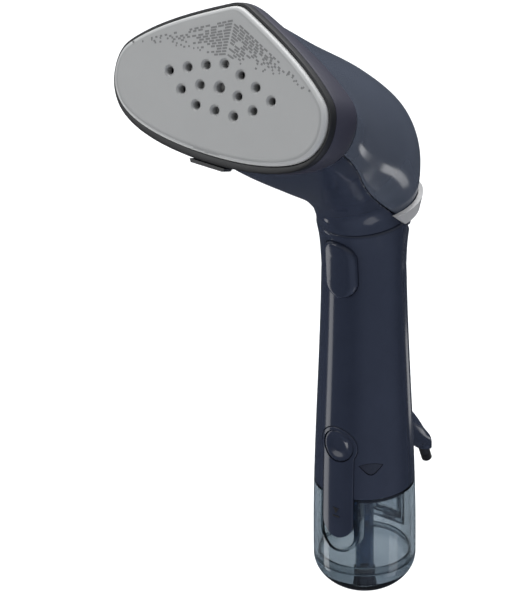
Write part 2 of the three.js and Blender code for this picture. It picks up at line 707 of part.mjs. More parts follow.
function buildBoss() {
  const outer = loft(BOSS_RINGS.map((r) => ovalRing(r.y, r.z, r.lean, r.wide, r.deep)));
  const bore = loft(BOSS_RINGS.map((r) => {
    const wide = Math.max(r.wide - 1.9, 1.9);
    return ovalRing(r.y, r.z, r.lean, wide, Math.max(r.deep - 3.2, 1.9));
  }));
  const mouth = placed(cylinder(BUSH_R + GAP, -9, 3.4, 16), BUSH_LEAN, 0, BUSH_Y, BUSH_Z);
  add("cord_boss",
    outer.subtract(bore).subtract(mouth).subtract(barrel(30, 120, GAP, 4)), navyGloss);
  const bush = tube(BUSH_R, CORD_R, -6.2, 3, 16);
  add("gland_bush", placed(bush, BUSH_LEAN, 0, BUSH_Y, BUSH_Z), blackRubber);
}

// --------------------------------------------------------------- the soleplate

/** Ring of the plate's outline at a depth behind the face, in head space. */
const plateRing = (grow, depth, count = 52) =>
  plateOutline(count, grow).map((p) => new THREE.Vector3(p.x, p.y, -depth));

/** Prism of the plate outline between two depths behind the face. */
/** Plate ring whose lower half reaches further down by foot. */
const footRing = (grow, depth, foot) => plateRing(grow, depth).map((p) =>
  new THREE.Vector3(p.x, p.y > 0 ? p.y : p.y * (1 + foot / PLATE_FOOT), p.z));

const platePrism = (grow, near, far, count = 52) =>
  loft([plateRing(grow, far, count), plateRing(grow, near, count)]);

const HOLE_PITCH_X = 8.6;
const HOLE_PITCH_Y = 9.95;
// steam holes in units of the pitch: [across, up], mirrored where across > 0
const STEAM_HOLES = [
  [0, 1.02], [1.01, 0.76], [2, 0.445], [3, 0.08],
  [0, 0], [1.11, -0.13], [2.11, -0.535],
  [0, -0.98], [1.11, -0.99],
];

function buildSoleplate() {
  let plate = loft([
    plateRing(0, PLATE_THICK), plateRing(0, PLATE_BEVEL),
    plateRing(-0.6, PLATE_BEVEL * 0.35), plateRing(-1.8, 0),
  ]);
  for (const [across, up] of STEAM_HOLES) {
    for (const side of across > 0 ? [-1, 1] : [1]) {
      const radius = across === 0 && up === 0 ? 2 : 1.6;
      const bit = turned([
        [0, -8], [radius, -8], [radius, -1], [radius + 1, 0.05], [radius + 1, 2], [0, 2],
      ], 8);
      plate = plate.subtract(bit.translate([side * across * HOLE_PITCH_X, up * HOLE_PITCH_Y, 0]));
    }
  }
  add("soleplate", plate, plateGrey, head);
  const bezel = loft([
    footRing(BEZEL_WIDTH, BEZEL_BACK, BEZEL_FOOT), footRing(BEZEL_WIDTH, BEZEL_FRONT, BEZEL_FOOT),
  ]).subtract(platePrism(GAP, BEZEL_FRONT - 1, BEZEL_BACK + 1));
  add("plate_bezel", bezel, blackMatte, head);
}

// ------------------------------------------------------- boiler and its parts

const BOILER_SCREWS = [[0, 20], [-36, -9], [36, -9]];
const ELEMENT_R = 2.9;
const NOZZLE_UP = -13;

/** Horseshoe of the heater along the back of the boiler. */
function heaterRoute(radius) {
  const points = [[-12, -17.5, -29], [-13, -17.4, -22]];
  for (let i = 0; i <= 8; i += 1) {
    const turn = (214 - 31 * i) * RAD;
    points.push([26 * Math.cos(turn), -4 + 13 * Math.sin(turn), -BOILER_BACK + 1.4]);
  }
  points.push([13, -17.4, -22], [12, -17.5, -29]);
  return sweptTube(points, radius, 0, 30, 8);
}

function buildBoiler() {
  const gasket = platePrism(-BOILER_INSET, PLATE_THICK + GAP, BOILER_FRONT - GAP, 36)
    .subtract(platePrism(-BOILER_INSET - 3, 0, 10, 36));
  add("chamber_gasket", gasket, silicone, head);

  let block = platePrism(-BOILER_INSET, BOILER_FRONT, BOILER_BACK, 36)
    .subtract(platePrism(-BOILER_INSET - 4, BOILER_FRONT - 1, BOILER_FRONT + 5, 36))
    .subtract(cylinder(2.3, -40, 0, 12).translate([0, NOZZLE_UP, 0]))
    .subtract(heaterRoute(ELEMENT_R + GAP));
  for (const [x, y] of BOILER_SCREWS) {
    block = block.subtract(cylinder(1.5, -BOILER_BACK - 1, -BOILER_BACK + 7, 10).translate([x, y, 0]));
  }
  add("boiler_block", block, castAlloy, head);
  add("heating_element", heaterRoute(ELEMENT_R), steel, head);

  const back = -BOILER_BACK - GAP;
  add("thermostat", cylinder(5.6, back - 5.4, back, 18).translate([0, -2.6, 0]), resin, head);
  const fuse = cylinder(2, -5, 5, 12).rotate([0, 90, 0]);
  add("thermal_fuse", fuse.translate([12.5, -2.6, back - 2.2]), silicone, head);
  const nozzle = turned([
    [1.2, -16], [2, -16], [2, back], [4.2, back], [4.2, back - 2.1], [2.2, back - 2.1],
    [2.2, back - 7], [1.2, back - 7], [1.2, -16],
  ], 16);
  add("water_nozzle", nozzle.translate([0, NOZZLE_UP, 0]), brass, head);

  const frame = platePrism(-2.2, BOILER_FRONT + 3.4, BOILER_FRONT + 5.8, 44)
    .subtract(platePrism(-BOILER_INSET + GAP, 0, 40, 44));
  add("heat_frame", frame, blackMatte, head);
  BOILER_SCREWS.forEach(([x, y], i) => {
    add(`boiler_screw_${i + 1}`, placed(screw(2.4, 1.2, 6), 180, x, y, back), steel, head);
  });
}

function buildSkirt() {
  const ring = (grow, depth, drop, foot) => footRing(grow, depth, foot).map((p) =>
    new THREE.Vector3(p.x, p.y > 0 ? p.y * (1 - drop / PLATE_TIP) : p.y, p.z));
  const skirt = (inset, over) => loft([
    ring(2.2 - inset, SKIRT_BACK - GAP + over, 5 + 0.4 * over, 0),
    ring(2.7 - inset, 15, 2.4, 0.5 * BEZEL_FOOT),
    ring(BEZEL_WIDTH - inset, BEZEL_BACK + GAP - over, 0, BEZEL_FOOT),
  ]);
  add("head_skirt", skirt(0, 0).subtract(skirt(WALL, 1)), navyMatte, head);
}

function buildCatch() {
  const shape = polygon([[-9, 0], [9, 0], [8, -1.5], [-8, -1.5]]);
  add("accessory_catch", sweptZ(shape, -12, -5.4).translate([-1.5, -33, 0]), blackMatte, head);
}

// ------------------------------------------------------------ the thumb lever

/** Both pins, on the lever's axis, running in from reach on either side. */
function leverPins(radius, reach) {
  const pin = cylinder(radius, 17, reach, 16).rotate([0, 90, 0]);
  return pin.add(pin.mirror([1, 0, 0])).translate([0, LEVER_PIVOT_Y, LEVER_PIVOT_Z]);
}

function buildLever() {
  const outside = -LEVER_ROOM - LEVER_THICK;
  const tab = cylinder(8, 192.7, 196.3, 24).translate([0, 27, 0]);
  const front = belowSeam(2.9).add(between(-160, -9));
  const lever = neckSolid(outside, 0.5, 0).intersect(overZ(LEVER_LOW, LEVER_HIGH)).add(tab)
    .subtract(front).subtract(neckSolid(-LEVER_ROOM, 1, 1))
    .add(leverPins(LEVER_PIN_R, 21.6));
  add("thumb_lever", lever, leverGrey);
}

// ------------------------------------------------------------------- assembly

buildShells();
buildInset();
buildSpine();
buildTrigger();
buildRelease();
buildTank();
buildFiller();
buildBase();
buildPump();
buildElectrics();
buildBoss();
buildSoleplate();
buildBoiler();
buildSkirt();
buildCatch();
buildLever();

export default garmentSteamer;
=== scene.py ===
"""Looks for the garment steamer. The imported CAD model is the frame; each piece that shows is
rebuilt here as a smooth, detailed mesh in the same place, and the rest keep their CAD meshes with
better materials. Shapes are worked out in millimetres, as in the CAD, and scaled to metres when
they become meshes. -Y is the front, with the steam plate and the trigger, and +Z runs up the
grip."""

import json
import math
import random

import bmesh
import bpy
from mathutils import Matrix, Quaternion, Vector
from mathutils.bvhtree import BVHTree
from mathutils.interpolate import poly_3d_calc


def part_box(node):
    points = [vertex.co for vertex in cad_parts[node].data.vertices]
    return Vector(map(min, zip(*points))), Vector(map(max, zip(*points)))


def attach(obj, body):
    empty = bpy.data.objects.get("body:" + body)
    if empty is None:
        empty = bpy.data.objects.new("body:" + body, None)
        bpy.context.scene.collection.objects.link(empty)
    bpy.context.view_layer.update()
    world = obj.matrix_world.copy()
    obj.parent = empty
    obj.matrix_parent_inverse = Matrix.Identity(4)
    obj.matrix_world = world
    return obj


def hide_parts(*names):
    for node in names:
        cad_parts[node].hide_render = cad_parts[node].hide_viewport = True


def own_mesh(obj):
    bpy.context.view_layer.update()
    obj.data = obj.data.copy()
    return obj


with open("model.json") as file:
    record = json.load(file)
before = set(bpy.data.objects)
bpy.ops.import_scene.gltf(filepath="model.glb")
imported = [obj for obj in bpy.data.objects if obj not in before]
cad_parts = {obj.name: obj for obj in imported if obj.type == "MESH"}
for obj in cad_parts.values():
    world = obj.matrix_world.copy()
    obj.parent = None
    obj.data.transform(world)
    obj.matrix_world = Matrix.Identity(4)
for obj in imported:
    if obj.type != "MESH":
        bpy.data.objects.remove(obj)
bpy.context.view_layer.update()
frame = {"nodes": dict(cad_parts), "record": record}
MM = 0.001

# ---------------------------------------------------------------- dimensions


def low(node):
    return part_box(node)[0] / MM


def high(node):
    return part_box(node)[1] / MM


GAP = 0.3  # joint gap between neighbouring pieces
WALL = 2.2  # moulded shell thickness

# grip: a round barrel that swells towards the tank
GRIP_BOTTOM = low("handle_front_shell").z
GRIP_TOP = high("handle_front_shell").z
NECK_FROM = 165
GRIP_R_TOP = 18.8
GRIP_R_LOW = 23.2
GRIP_TAPER = (26, 177)
PARTING_Y = 3.5
SCREW_SEAT_R = 2.2

# the back cover's seam rises from the lever to the lower corner of the skirt
SEAM_SLOPE = -0.87
SEAM_Y = PARTING_Y
SEAM_Z = GRIP_TOP
WAIST_Z = 198
WAIST_SPREAD = 11
WAIST_PINCH = 0.9

# tank
TANK_SEAM = high("tank_dome").z
TANK_TOP = high("tank_body").z
TANK_R = GRIP_R_LOW
TANK_WALL = 1.8
DOME_DEPTH = 17
DECK = 2
POCKET_END = 28
POCKET_DEPTH = 3.1
WELL = (4.4, -13.2, 43)  # half width, inner face and lowest point of the latch's well
TUBE_RADII = (4.2, 2.6)
FLAP_HALF = 8
FLAP_LOW = 25.6
FLAP_HIGH = 40
HINGE = (24, 24.2)  # Y and Z of the flap's pin

# front spine, release button and trigger
SPINE_HALF = 8
SPINE_END = low("front_spine").z
SPINE_PROUD = 0.25
BUTTON_Z = 81.5
BUTTON_R = 7.6
BUTTON_RIM = 9.4
TRIGGER_LOW = 156.6
TRIGGER_HIGH = 185.6
TRIGGER_HALF = 8.2
TRIGGER_PROUD = 3

# lens-shaped inset
INSET_ANGLE = 41.5  # around the grip from the front
INSET_Z = 71.6
INSET_HALF_WIDE = 5.3
INSET_HALF_HIGH = 3.1
INSET_DEPTHS = (0.25, 1.3)  # of its face and its back below the barrel's surface
INSET_POCKET = 1.4

# head: its own space has x across, y up the plate and z out of the plate
PLATE_TILT = 22.8
PLATE_MIDDLE = (0, -107.5, 297.2)
HEAD = Matrix.Translation(PLATE_MIDDLE) @ Matrix.Rotation(math.radians(90 - PLATE_TILT), 4, "X")
PLATE_THICK = 4.5
HALF_WIDTH = 53.8
PLATE_TIP = 34.8
PLATE_FOOT = 28.7
BEZEL_WIDTH = 1.5
BEZEL_FOOT = 1.9  # the bezel is this much wider below the plate's foot
BEZEL_DEPTHS = (3, 7.2)
SKIRT_DEPTHS = (7.5, 15, 22.7)
SKIRT_GROWS = (1.5, 2.7, 2.2)
SKIRT_DROPS = (0, 2.4, 5)
SKIRT_FEET = (BEZEL_FOOT, BEZEL_FOOT / 2, 0)
HOLES_WITHIN = 28  # of the plate's middle; the bevelled rim is further out, and its faces get a painted highlight
HOLE_R = 1.6
MIDDLE_HOLE_R = 2
HOLE_PITCH = (8.6, 9.95)
STEAM_HOLES = [  # in pitches across and up; each one off the middle line has a twin
    (0, 1.02), (1.01, 0.76), (2, 0.445), (3, 0.08),
    (0, 0), (1.11, -0.13), (2.11, -0.535),
    (0, -0.98), (1.11, -0.99),
]

# printed dashes below the plate's tip
DASH_ROWS = 12
DASH_PITCH = 1.3
DASH_LEAN = -24.3
DASH_REACH = 50
DASH_HALF_WIDE = 0.42

# thumb lever: a band around the back of the neck on two side pins
LEVER_LOW = 191.6
LEVER_HIGH = 197.4
LEVER_ROOM = 0.45
LEVER_THICK = 2.2
LEVER_PIVOT = (4, 194.5)  # Y and Z
LEVER_PIN_R = 1.4
LEVER_DROP = 2.9  # of its front ends below the seam
TAB_R = 8
TAB_Y = 27
TAB_Z = (192.7, 196.3)

# cord boss: middle (Y, Z), lean, half width and half depth of each ring
BOSS_RINGS = [
    (48.7, 46, -14, 3.9, 3.9),
    (46.3, 51.4, 5, 4.9, 5),
    (39.5, 56.8, 25, 5.9, 6.6),
    (31, 64, 45, 6.8, 9.5),
    (16, 75, 60, 7.6, 14.5),
]
BOSS_STEPS = 28  # rings along the boss
BUSH = (49.4, 44.6)  # Y and Z
BUSH_LEAN = 22
BUSH_R = 2.4
CORD_R = 1.7

# stations of the outer skin from the barrel to the back of the skirt: middle (Y, Z), tilt of
# the section, half width, reach to the ridge, reach to the chin, and how round it is
NECK_STATIONS = [
    (0, 165, 0, 18.8, 18.8, 18.8, 1),
    (0, 178, 0, 19.4, 19.8, 19.8, 1),
    (1, 190, 1, 20.1, 23.4, 24.8, 1),
    (3, 200, 8, 20.8, 27.2, 29.8, 1),
    (-1, 211, 20, 22.6, 31.6, 29.3, 1),
    (-14, 224.5, 32, 27, 35, 27, 1),
    (-35, 241.5, 43, 34.5, 36.2, 27, 0.8),
    (-58, 262, 54, 45.5, 33, 29.5, 0.45),
    (-76, 279, 62.5, 53.5, 31.2, 30.6, 0.12),
    (-86.3, 288.3, 67.2, 56.2, 31, 30.6, 0),
]

FRONT_Y = -40  # where cutters start in front of the grip
BACK_Y = 40  # and behind it
AROUND = 144  # points around the grip, the neck and the tank
SKIN_STEP = 1.8  # between the rings of the skin along the grip


def lerp(a, b, t):
    return a + (b - a) * t


def smoothstep(x, start, end):
    t = min(max((x - start) / (end - start), 0), 1)
    return t * t * (3 - 2 * t)


def grip_radius(z):
    return lerp(GRIP_R_LOW, GRIP_R_TOP, smoothstep(z, *GRIP_TAPER))


# -------------------------------------------------------------- mesh helpers

BOOLEAN_TRIES = 6
FACES_KEPT = 0.7  # least share of its faces that a cut or joined piece keeps
BOOLEAN_NUDGE = Vector((0.004, 0.003, 0.005))
ALONG_REFERENCE = 0.985  # cosine between a face and the smooth surface that it lies along
ON_PLANE = 0.18  # points this near to a cutting plane are moved onto it


def to_object(name, bm, matrix=Matrix.Identity(4), sharp=32, closed=True):
    """Object in metres from a mesh in millimetres, smooth but for its sharp edges."""
    mesh = bpy.data.meshes.new(name)
    if closed:
        bmesh.ops.recalc_face_normals(bm, faces=bm.faces)
    bm.to_mesh(mesh)
    bm.free()
    mesh.transform(Matrix.Scale(MM, 4) @ matrix)
    obj = bpy.data.objects.new(name, mesh)
    bpy.context.scene.collection.objects.link(obj)
    smooth(obj, sharp)
    return obj


def smooth(obj, sharp=32):
    obj.data.shade_smooth()
    obj.data.set_sharp_from_angle(angle=math.radians(sharp))


def loft(rings, ends=True, wrap=False):
    """Mesh through a row of closed rings; wrap joins the last ring to the first."""
    bm = bmesh.new()
    rows = [[bm.verts.new(p) for p in ring] for ring in rings]
    count = len(rows[0])
    pairs = list(zip(rows, rows[1:] + rows[:1])) if wrap else list(zip(rows, rows[1:]))
    for lower, upper in pairs:
        for j in range(count):
            k = (j + 1) % count
            bm.faces.new((lower[j], lower[k], upper[k], upper[j]))
    if ends and not wrap:
        bm.faces.new(rows[0])
        bm.faces.new(rows[-1])
    return bm


def full_turn(count):
    return [2 * math.pi * j / count for j in range(count)]


def circle(radius, z, around):
    """Level ring about Z, from +Y clockwise."""
    return [Vector((radius * math.sin(t), radius * math.cos(t), z)) for t in full_turn(around)]


def turned(profile, around=64):
    """Solid of revolution about Z from (radius, z) pairs off the axis, closed at both ends."""
    return loft([circle(radius, z, around) for radius, z in profile])


def ring_tube(profile, around=48):
    """Hollow turned piece about Z from a closed outline of (radius, z) pairs."""
    return loft([circle(radius, z, around) for radius, z in profile], wrap=True)


def add_slab(bm, near, far):
    """Adds a small prism between two rings of points, its two ends first."""
    near, far = ([bm.verts.new(p) for p in ring] for ring in (near, far))
    bm.faces.new(near)
    bm.faces.new(far)
    for j in range(len(near)):
        k = (j + 1) % len(near)
        bm.faces.new((near[j], near[k], far[k], far[j]))


def apply_modifiers(obj):
    graph = bpy.context.evaluated_depsgraph_get()
    mesh = bpy.data.meshes.new_from_object(obj.evaluated_get(graph))
    obj.modifiers.clear()
    obj.data = mesh


def combine(obj, other, operation):
    """Cuts, joins or crosses two solids; the other one is used up. Faces that almost touch can
    spoil a result, which then has lost most of its faces: the other one is moved a little, and
    the step is tried again."""
    before = obj.data
    for _ in range(BOOLEAN_TRIES):
        modifier = obj.modifiers.new(operation, "BOOLEAN")
        modifier.operation = operation
        modifier.solver = "EXACT"
        modifier.object = other
        apply_modifiers(obj)
        if operation == "INTERSECT" or len(obj.data.polygons) > FACES_KEPT * len(before.polygons):
            break
        obj.data = before
        other.data.transform(Matrix.Translation(BOOLEAN_NUDGE * MM))
    bpy.data.objects.remove(other)
    return obj


def cut(obj, *others):
    for other in others:
        combine(obj, other, "DIFFERENCE")
    return obj


def bevelled(obj, width, segments=3, angle=40):
    modifier = obj.modifiers.new("bevel", "BEVEL")
    modifier.width = width * MM
    modifier.segments = segments
    modifier.limit_method = "ANGLE"
    modifier.angle_limit = math.radians(angle)
    modifier.harden_normals = False
    apply_modifiers(obj)
    smooth(obj)
    return obj


def polish(obj, reference, reach=0.7):
    """Takes the normals of a smooth reference surface wherever the piece lies along it, so that
    cut-outs leave no marks in its gloss."""
    tree = BVHTree.FromPolygons(
        [v.co for v in reference.vertices], [p.vertices for p in reference.polygons]
    )
    smooth(obj)
    mesh = obj.data
    normals = [Vector(n.vector) for n in mesh.corner_normals]
    for polygon in mesh.polygons:
        for corner in polygon.loop_indices:
            at = mesh.vertices[mesh.loops[corner].vertex_index].co
            spot, facing, face, _ = tree.find_nearest(at, reach * MM)
            if face is None or polygon.normal.dot(facing) < ALONG_REFERENCE:
                continue
            around = [reference.vertices[i] for i in reference.polygons[face].vertices]
            weights = poly_3d_calc([v.co for v in around], spot)
            blended = sum((v.normal * w for v, w in zip(around, weights)), Vector())
            normals[corner] = blended.normalized()
    mesh.normals_split_custom_set(normals)
    return obj


def flatten(obj, facing, limit=0.9995):
    """Makes the normals of all faces that look one way exactly alike."""
    facing = Vector(facing).normalized()
    normals = [Vector(n.vector) for n in obj.data.corner_normals]
    for polygon in obj.data.polygons:
        if polygon.normal.dot(facing) > limit:
            for corner in polygon.loop_indices:
                normals[corner] = facing
    obj.data.normals_split_custom_set(normals)
    return obj


def slice_along(bm, point, normal, clear=True):
    """Cuts an open surface along a plane and, with clear, drops the side that normal points to.
    Points that nearly lie on the plane are first moved onto it."""
    point, normal = Vector(point), Vector(normal).normalized()
    for v in bm.verts:
        off = (v.co - point).dot(normal)
        if abs(off) < ON_PLANE:
            v.co -= normal * off
    bmesh.ops.bisect_plane(
        bm, geom=bm.verts[:] + bm.edges[:] + bm.faces[:], dist=1e-4,
        plane_co=point, plane_no=normal, clear_outer=clear,
    )


def round_over(bm, point, normal, radius):
    """Rounds the rim that a cut along this plane has left, inwards by a quarter circle."""
    point, normal = Vector(point), Vector(normal).normalized()
    for share in (0.05, 0.2, 0.45, 0.75):
        slice_along(bm, point - normal * radius * share, normal, clear=False)
    bm.normal_update()
    moves = []
    for v in bm.verts:
        depth = (point - v.co).dot(normal)
        if -1e-3 <= depth < radius:
            inward = v.normal - normal * v.normal.dot(normal)
            gone = radius - math.sqrt(max(radius**2 - (radius - depth) ** 2, 0))
            moves.append((v, inward.normalized() * gone))
    for v, move in moves:
        v.co -= move


# ---------------------------------------------------------- outlines and rings


def rounded_slot(half, bottom, top, corner, inset=0.0, steps=14):
    """Upright slot or rounded box as (x, z) points, drawn inwards by an inset."""
    half, bottom, top = half - inset, bottom + inset, top - inset
    corner = max(min(corner - inset, half), 0.02)
    points = []
    for quarter, (x, z) in enumerate([
        (half - corner, top - corner), (-half + corner, top - corner),
        (-half + corner, bottom + corner), (half - corner, bottom + corner),
    ]):
        for i in range(steps + 1):
            turn = math.radians(90 * quarter + 90 * i / steps)
            points.append((x + corner * math.cos(turn), z + corner * math.sin(turn)))
    return points


def keyhole(inset=0.0):
    """The front spine: a disc around the button over a strip with a round foot."""
    rim, half = BUTTON_RIM - inset, SPINE_HALF - inset
    start = -math.acos(half / rim)
    points = []
    for i in range(49):
        turn = lerp(start, math.pi - start, i / 48)
        points.append((rim * math.cos(turn), BUTTON_Z + rim * math.sin(turn)))
    foot = SPINE_END + SPINE_HALF
    top = BUTTON_Z - math.sqrt(rim**2 - half**2)
    points += [(-half, lerp(top, foot, i / 20)) for i in range(1, 20)]
    for i in range(25):
        turn = math.pi * (1 + i / 24)
        points.append((half * math.cos(turn), foot + half * math.sin(turn)))
    points += [(half, lerp(foot, top, i / 20)) for i in range(1, 20)]
    return points


def disc(radius, z, inset=0.0, count=72):
    reach = radius - inset
    return [(reach * math.cos(t), z + reach * math.sin(t)) for t in full_turn(count)]


def lens(inset=0.0):
    """The inset's outline: a shallow curve over a deep one, about its own middle."""
    half, tall = INSET_HALF_WIDE - inset, INSET_HALF_HIGH - inset
    points = []
    for i in range(25):
        s = i / 24
        points.append((half * (1 - 2 * s), tall * (0.5 + 1.6 * s * (1 - s))))
    for i in range(1, 24):
        s = i / 24
        pull = 3 * s * (1 - s)
        points.append((-half * (1 - 2 * s) * (1 - 0.3 * pull), tall * (0.5 - 1.9 * pull)))
    return points


def barrel_depth(offset, side=-1):
    """Y of the barrel's surface, grown by an offset, over a point (x, z)."""
    def depth(x, z):
        return side * math.sqrt(max((grip_radius(z) + offset) ** 2 - x * x, 1))
    return depth


def pad(outline, face, base, edge, reach, dish=None, side=-1):
    """Pad with a rounded rim. outline(inset) gives a ring of (x, z); face and base give the Y of
    its front and back; reach is the inset of its innermost ring; dish(inset) sinks its face."""
    steps = [(0, edge)]
    for i in range(1, 6):
        turn = math.radians(18 * i)
        steps.append((edge * (1 - math.cos(turn)), edge * (1 - math.sin(turn))))
    rows = max(int((reach - edge) / 0.8), 3)
    steps += [(lerp(edge, reach, i / rows), 0) for i in range(1, rows + 1)]
    rings = [[Vector((x, base(x, z), z)) for x, z in outline(0)]]
    for inset, sunk in steps:
        sunk += dish(inset) if dish else 0
        rings.append([Vector((x, face(x, z) - side * sunk, z)) for x, z in outline(inset)])
    return loft(rings)


def plug(outline, back, reach):
    """Cutter along Y: from a plane in front to a curved back, over an outline(inset)."""
    rows = 8
    rings = [[Vector((x, FRONT_Y, z)) for x, z in outline(0)]]
    for i in range(rows + 1):
        ring = outline(reach * i / rows)
        rings.append([Vector((x, back(x, z), z)) for x, z in ring])
    return loft(rings)


def prism(outline, near, far):
    return loft([[Vector((x, y, z)) for x, z in outline] for y in (near, far)])


def block(size, middle):
    """Box with square edges."""
    bm = bmesh.new()
    placed = Matrix.Translation(middle) @ Matrix.Diagonal((*size, 1))
    bmesh.ops.create_cube(bm, size=1, matrix=placed)
    return bm


def bezier(points, t):
    a, b, c, d = (Vector(p) for p in points)
    return (1 - t) ** 3 * a + 3 * (1 - t) ** 2 * t * b + 3 * (1 - t) * t * t * c + t**3 * d


def plate_outline(count):
    """Soleplate's outline in head space, evenly spaced from the tip, clockwise."""
    foot, corner = -PLATE_FOOT, HALF_WIDTH - 0.4
    curves = [
        ((0, PLATE_TIP), (2.2, PLATE_TIP), (3.6, 34), (5, 33.3)),
        ((5, 33.3), (22, 25.6), (39, 17), (49.6, 6.2)),
        ((49.6, 6.2), (corner, 2.2), (HALF_WIDTH + 1, -8.5), (49.5, -15.4)),
        ((49.5, -15.4), (43, -25.6), (20, foot), (0, foot)),
    ]
    trail = [bezier(c, i / 100) for c in curves for i in range(100)] + [Vector((0, foot))]
    far = [0.0]
    for a, b in zip(trail, trail[1:]):
        far.append(far[-1] + (b - a).length)
    half, i = [], 0
    for k in range(count // 2 + 1):
        goal = far[-1] * k / (count // 2)
        while i < len(trail) - 2 and far[i + 1] < goal:
            i += 1
        half.append(trail[i].lerp(trail[i + 1], (goal - far[i]) / (far[i + 1] - far[i])))
    points = half[:-1] + [Vector((-p.x, p.y)) for p in reversed(half[1:])]
    for _ in range(3):
        points = [
            p * 0.5 + (points[j - 1] + points[(j + 1) % count]) * 0.25 for j, p in enumerate(points)
        ]
    return points


PLATE_POINTS = 240  # around the plate, its bezel and the skirt
OUTLINES = {count: plate_outline(count) for count in (AROUND, PLATE_POINTS)}


def grown(grow):
    """Plate outline moved outwards."""
    points = OUTLINES[PLATE_POINTS]
    moved = []
    for j, p in enumerate(points):
        run = (points[(j + 1) % PLATE_POINTS] - points[j - 1]).normalized()
        moved.append(Vector((p.x - run.y * grow, p.y + run.x * grow)))
    return moved


def plate_ring(grow, depth, drop=0.0, foot=0.0):
    """Plate outline at a depth behind the face; drop lowers its tip, and foot its lower edge."""
    ring = []
    for p in grown(grow):
        y = p.y * (1 - drop / PLATE_TIP if p.y > 0 else 1 + foot / PLATE_FOOT)
        ring.append(Vector((p.x, y, -depth)))
    return ring


def between(rows, t):
    """Row of values on the smooth curve through all rows, from t = 0 at the first to 1."""
    last = len(rows) - 1
    at = min(t * last, last - 1e-6)
    i = int(at)
    f = at - i
    a, b, c, d = (rows[min(max(i + k, 0), last)] for k in (-1, 0, 1, 2))
    return [
        q + 0.5 * f * (r - p + f * (2 * p - 5 * q + 4 * r - s + f * (3 * (q - r) + s - p)))
        for p, q, r, s in zip(a, b, c, d)
    ]


def section_ring(station, pinch, grow=0.0):
    """Ring of the outer skin at a station, from the ridge clockwise."""
    y, z, tilt, half, ridge, chin, roundness = station
    ridge, chin = ridge + grow, chin + grow
    lean, wide = math.radians(tilt), half - pinch + grow
    ring = []
    for p, turn in zip(OUTLINES[AROUND], full_turn(AROUND)):
        reach = ridge if p.y > 0 else chin
        swing = ridge if math.cos(turn) > 0 else chin
        x = lerp(p.x / HALF_WIDTH * wide, wide * math.sin(turn), roundness)
        flat = p.y / (PLATE_TIP if p.y > 0 else PLATE_FOOT) * reach
        v = lerp(flat, swing * math.cos(turn), roundness)
        ring.append(Vector((x, y + v * math.cos(lean), z + v * math.sin(lean))))
    return ring


def skin(bottom, pinch_depth=0.0, grow=0.0, rows=76):
    """Open outer skin of grip and neck, facing out, from a height up to the back of the skirt."""
    rings = []
    z = bottom
    while z < NECK_FROM - 3:
        rings.append(circle(grip_radius(z) + grow, z, AROUND))
        z += SKIN_STEP
    for i in range(rows + 1):
        station = between(NECK_STATIONS, i / rows)
        pinch = pinch_depth * math.exp(-(((station[1] - WAIST_Z) / WAIST_SPREAD) ** 2))
        rings.append(section_ring(station, pinch, grow))
    bm = loft(rings, ends=False)
    bmesh.ops.reverse_faces(bm, faces=bm.faces)
    return bm


def reference_mesh(name, bm):
    """Smooth surface that pieces take their normals from; it isn't part of the scene."""
    mesh = bpy.data.meshes.new(name)
    bm.to_mesh(mesh)
    bm.free()
    mesh.transform(Matrix.Scale(MM, 4))
    return mesh


SKIN_REFERENCE = reference_mesh("skin_reference", skin(TANK_SEAM - 4))
CHIN_REFERENCE = reference_mesh("chin_reference", skin(GRIP_TOP - 30, WAIST_PINCH))

# ------------------------------------------------------------------ materials


def material(name, colour, roughness, grain=0.0, grain_size=0.4, mottle=0.06, scratch=0.0, **more):
    """Moulded or metal surface: cloudy colour and roughness, a fine grain and long scratches.
    grain and grain_size are millimetres; more sets the shader's own sockets."""
    made = bpy.data.materials.new(name)
    made.use_nodes = True
    nodes, links = made.node_tree.nodes, made.node_tree.links
    shader = nodes["Principled BSDF"]
    for socket, value in more.items():
        shader.inputs[socket.replace("_", " ")].default_value = value
    where = nodes.new("ShaderNodeTexCoord")

    clouds = nodes.new("ShaderNodeTexNoise")
    clouds.inputs["Scale"].default_value = 55
    clouds.inputs["Detail"].default_value = 5
    links.new(where.outputs["Object"], clouds.inputs["Vector"])
    tint = nodes.new("ShaderNodeValToRGB")
    for end, position, share in zip(tint.color_ramp.elements, (0.3, 0.7), (1 - mottle, 1 + mottle)):
        end.position = position
        end.color = (*(c * share for c in colour), 1)
    links.new(clouds.outputs["Fac"], tint.inputs["Fac"])
    links.new(tint.outputs["Color"], shader.inputs["Base Color"])

    rough = nodes.new("ShaderNodeMapRange")
    rough.inputs["To Min"].default_value = roughness * 0.85
    rough.inputs["To Max"].default_value = roughness * 1.15
    links.new(clouds.outputs["Fac"], rough.inputs["Value"])
    links.new(rough.outputs["Result"], shader.inputs["Roughness"])

    speckle = nodes.new("ShaderNodeTexNoise")
    speckle.inputs["Scale"].default_value = 1 / (grain_size * MM)
    speckle.inputs["Detail"].default_value = 2
    links.new(where.outputs["Object"], speckle.inputs["Vector"])
    height = speckle.outputs["Fac"]
    if scratch:
        stretch = nodes.new("ShaderNodeMapping")
        stretch.inputs["Scale"].default_value = (2600, 2600, 90)
        links.new(where.outputs["Object"], stretch.inputs["Vector"])
        lines = nodes.new("ShaderNodeTexNoise")
        lines.inputs["Scale"].default_value = 1
        links.new(stretch.outputs["Vector"], lines.inputs["Vector"])
        blend = nodes.new("ShaderNodeMix")
        blend.inputs["Factor"].default_value = scratch
        links.new(height, blend.inputs["A"])
        links.new(lines.outputs["Fac"], blend.inputs["B"])
        height = blend.outputs["Result"]
    bump = nodes.new("ShaderNodeBump")
    bump.inputs["Strength"].default_value = 1
    bump.inputs["Distance"].default_value = grain * MM
    links.new(height, bump.inputs["Height"])
    links.new(bump.outputs["Normal"], shader.inputs["Normal"])
    return made


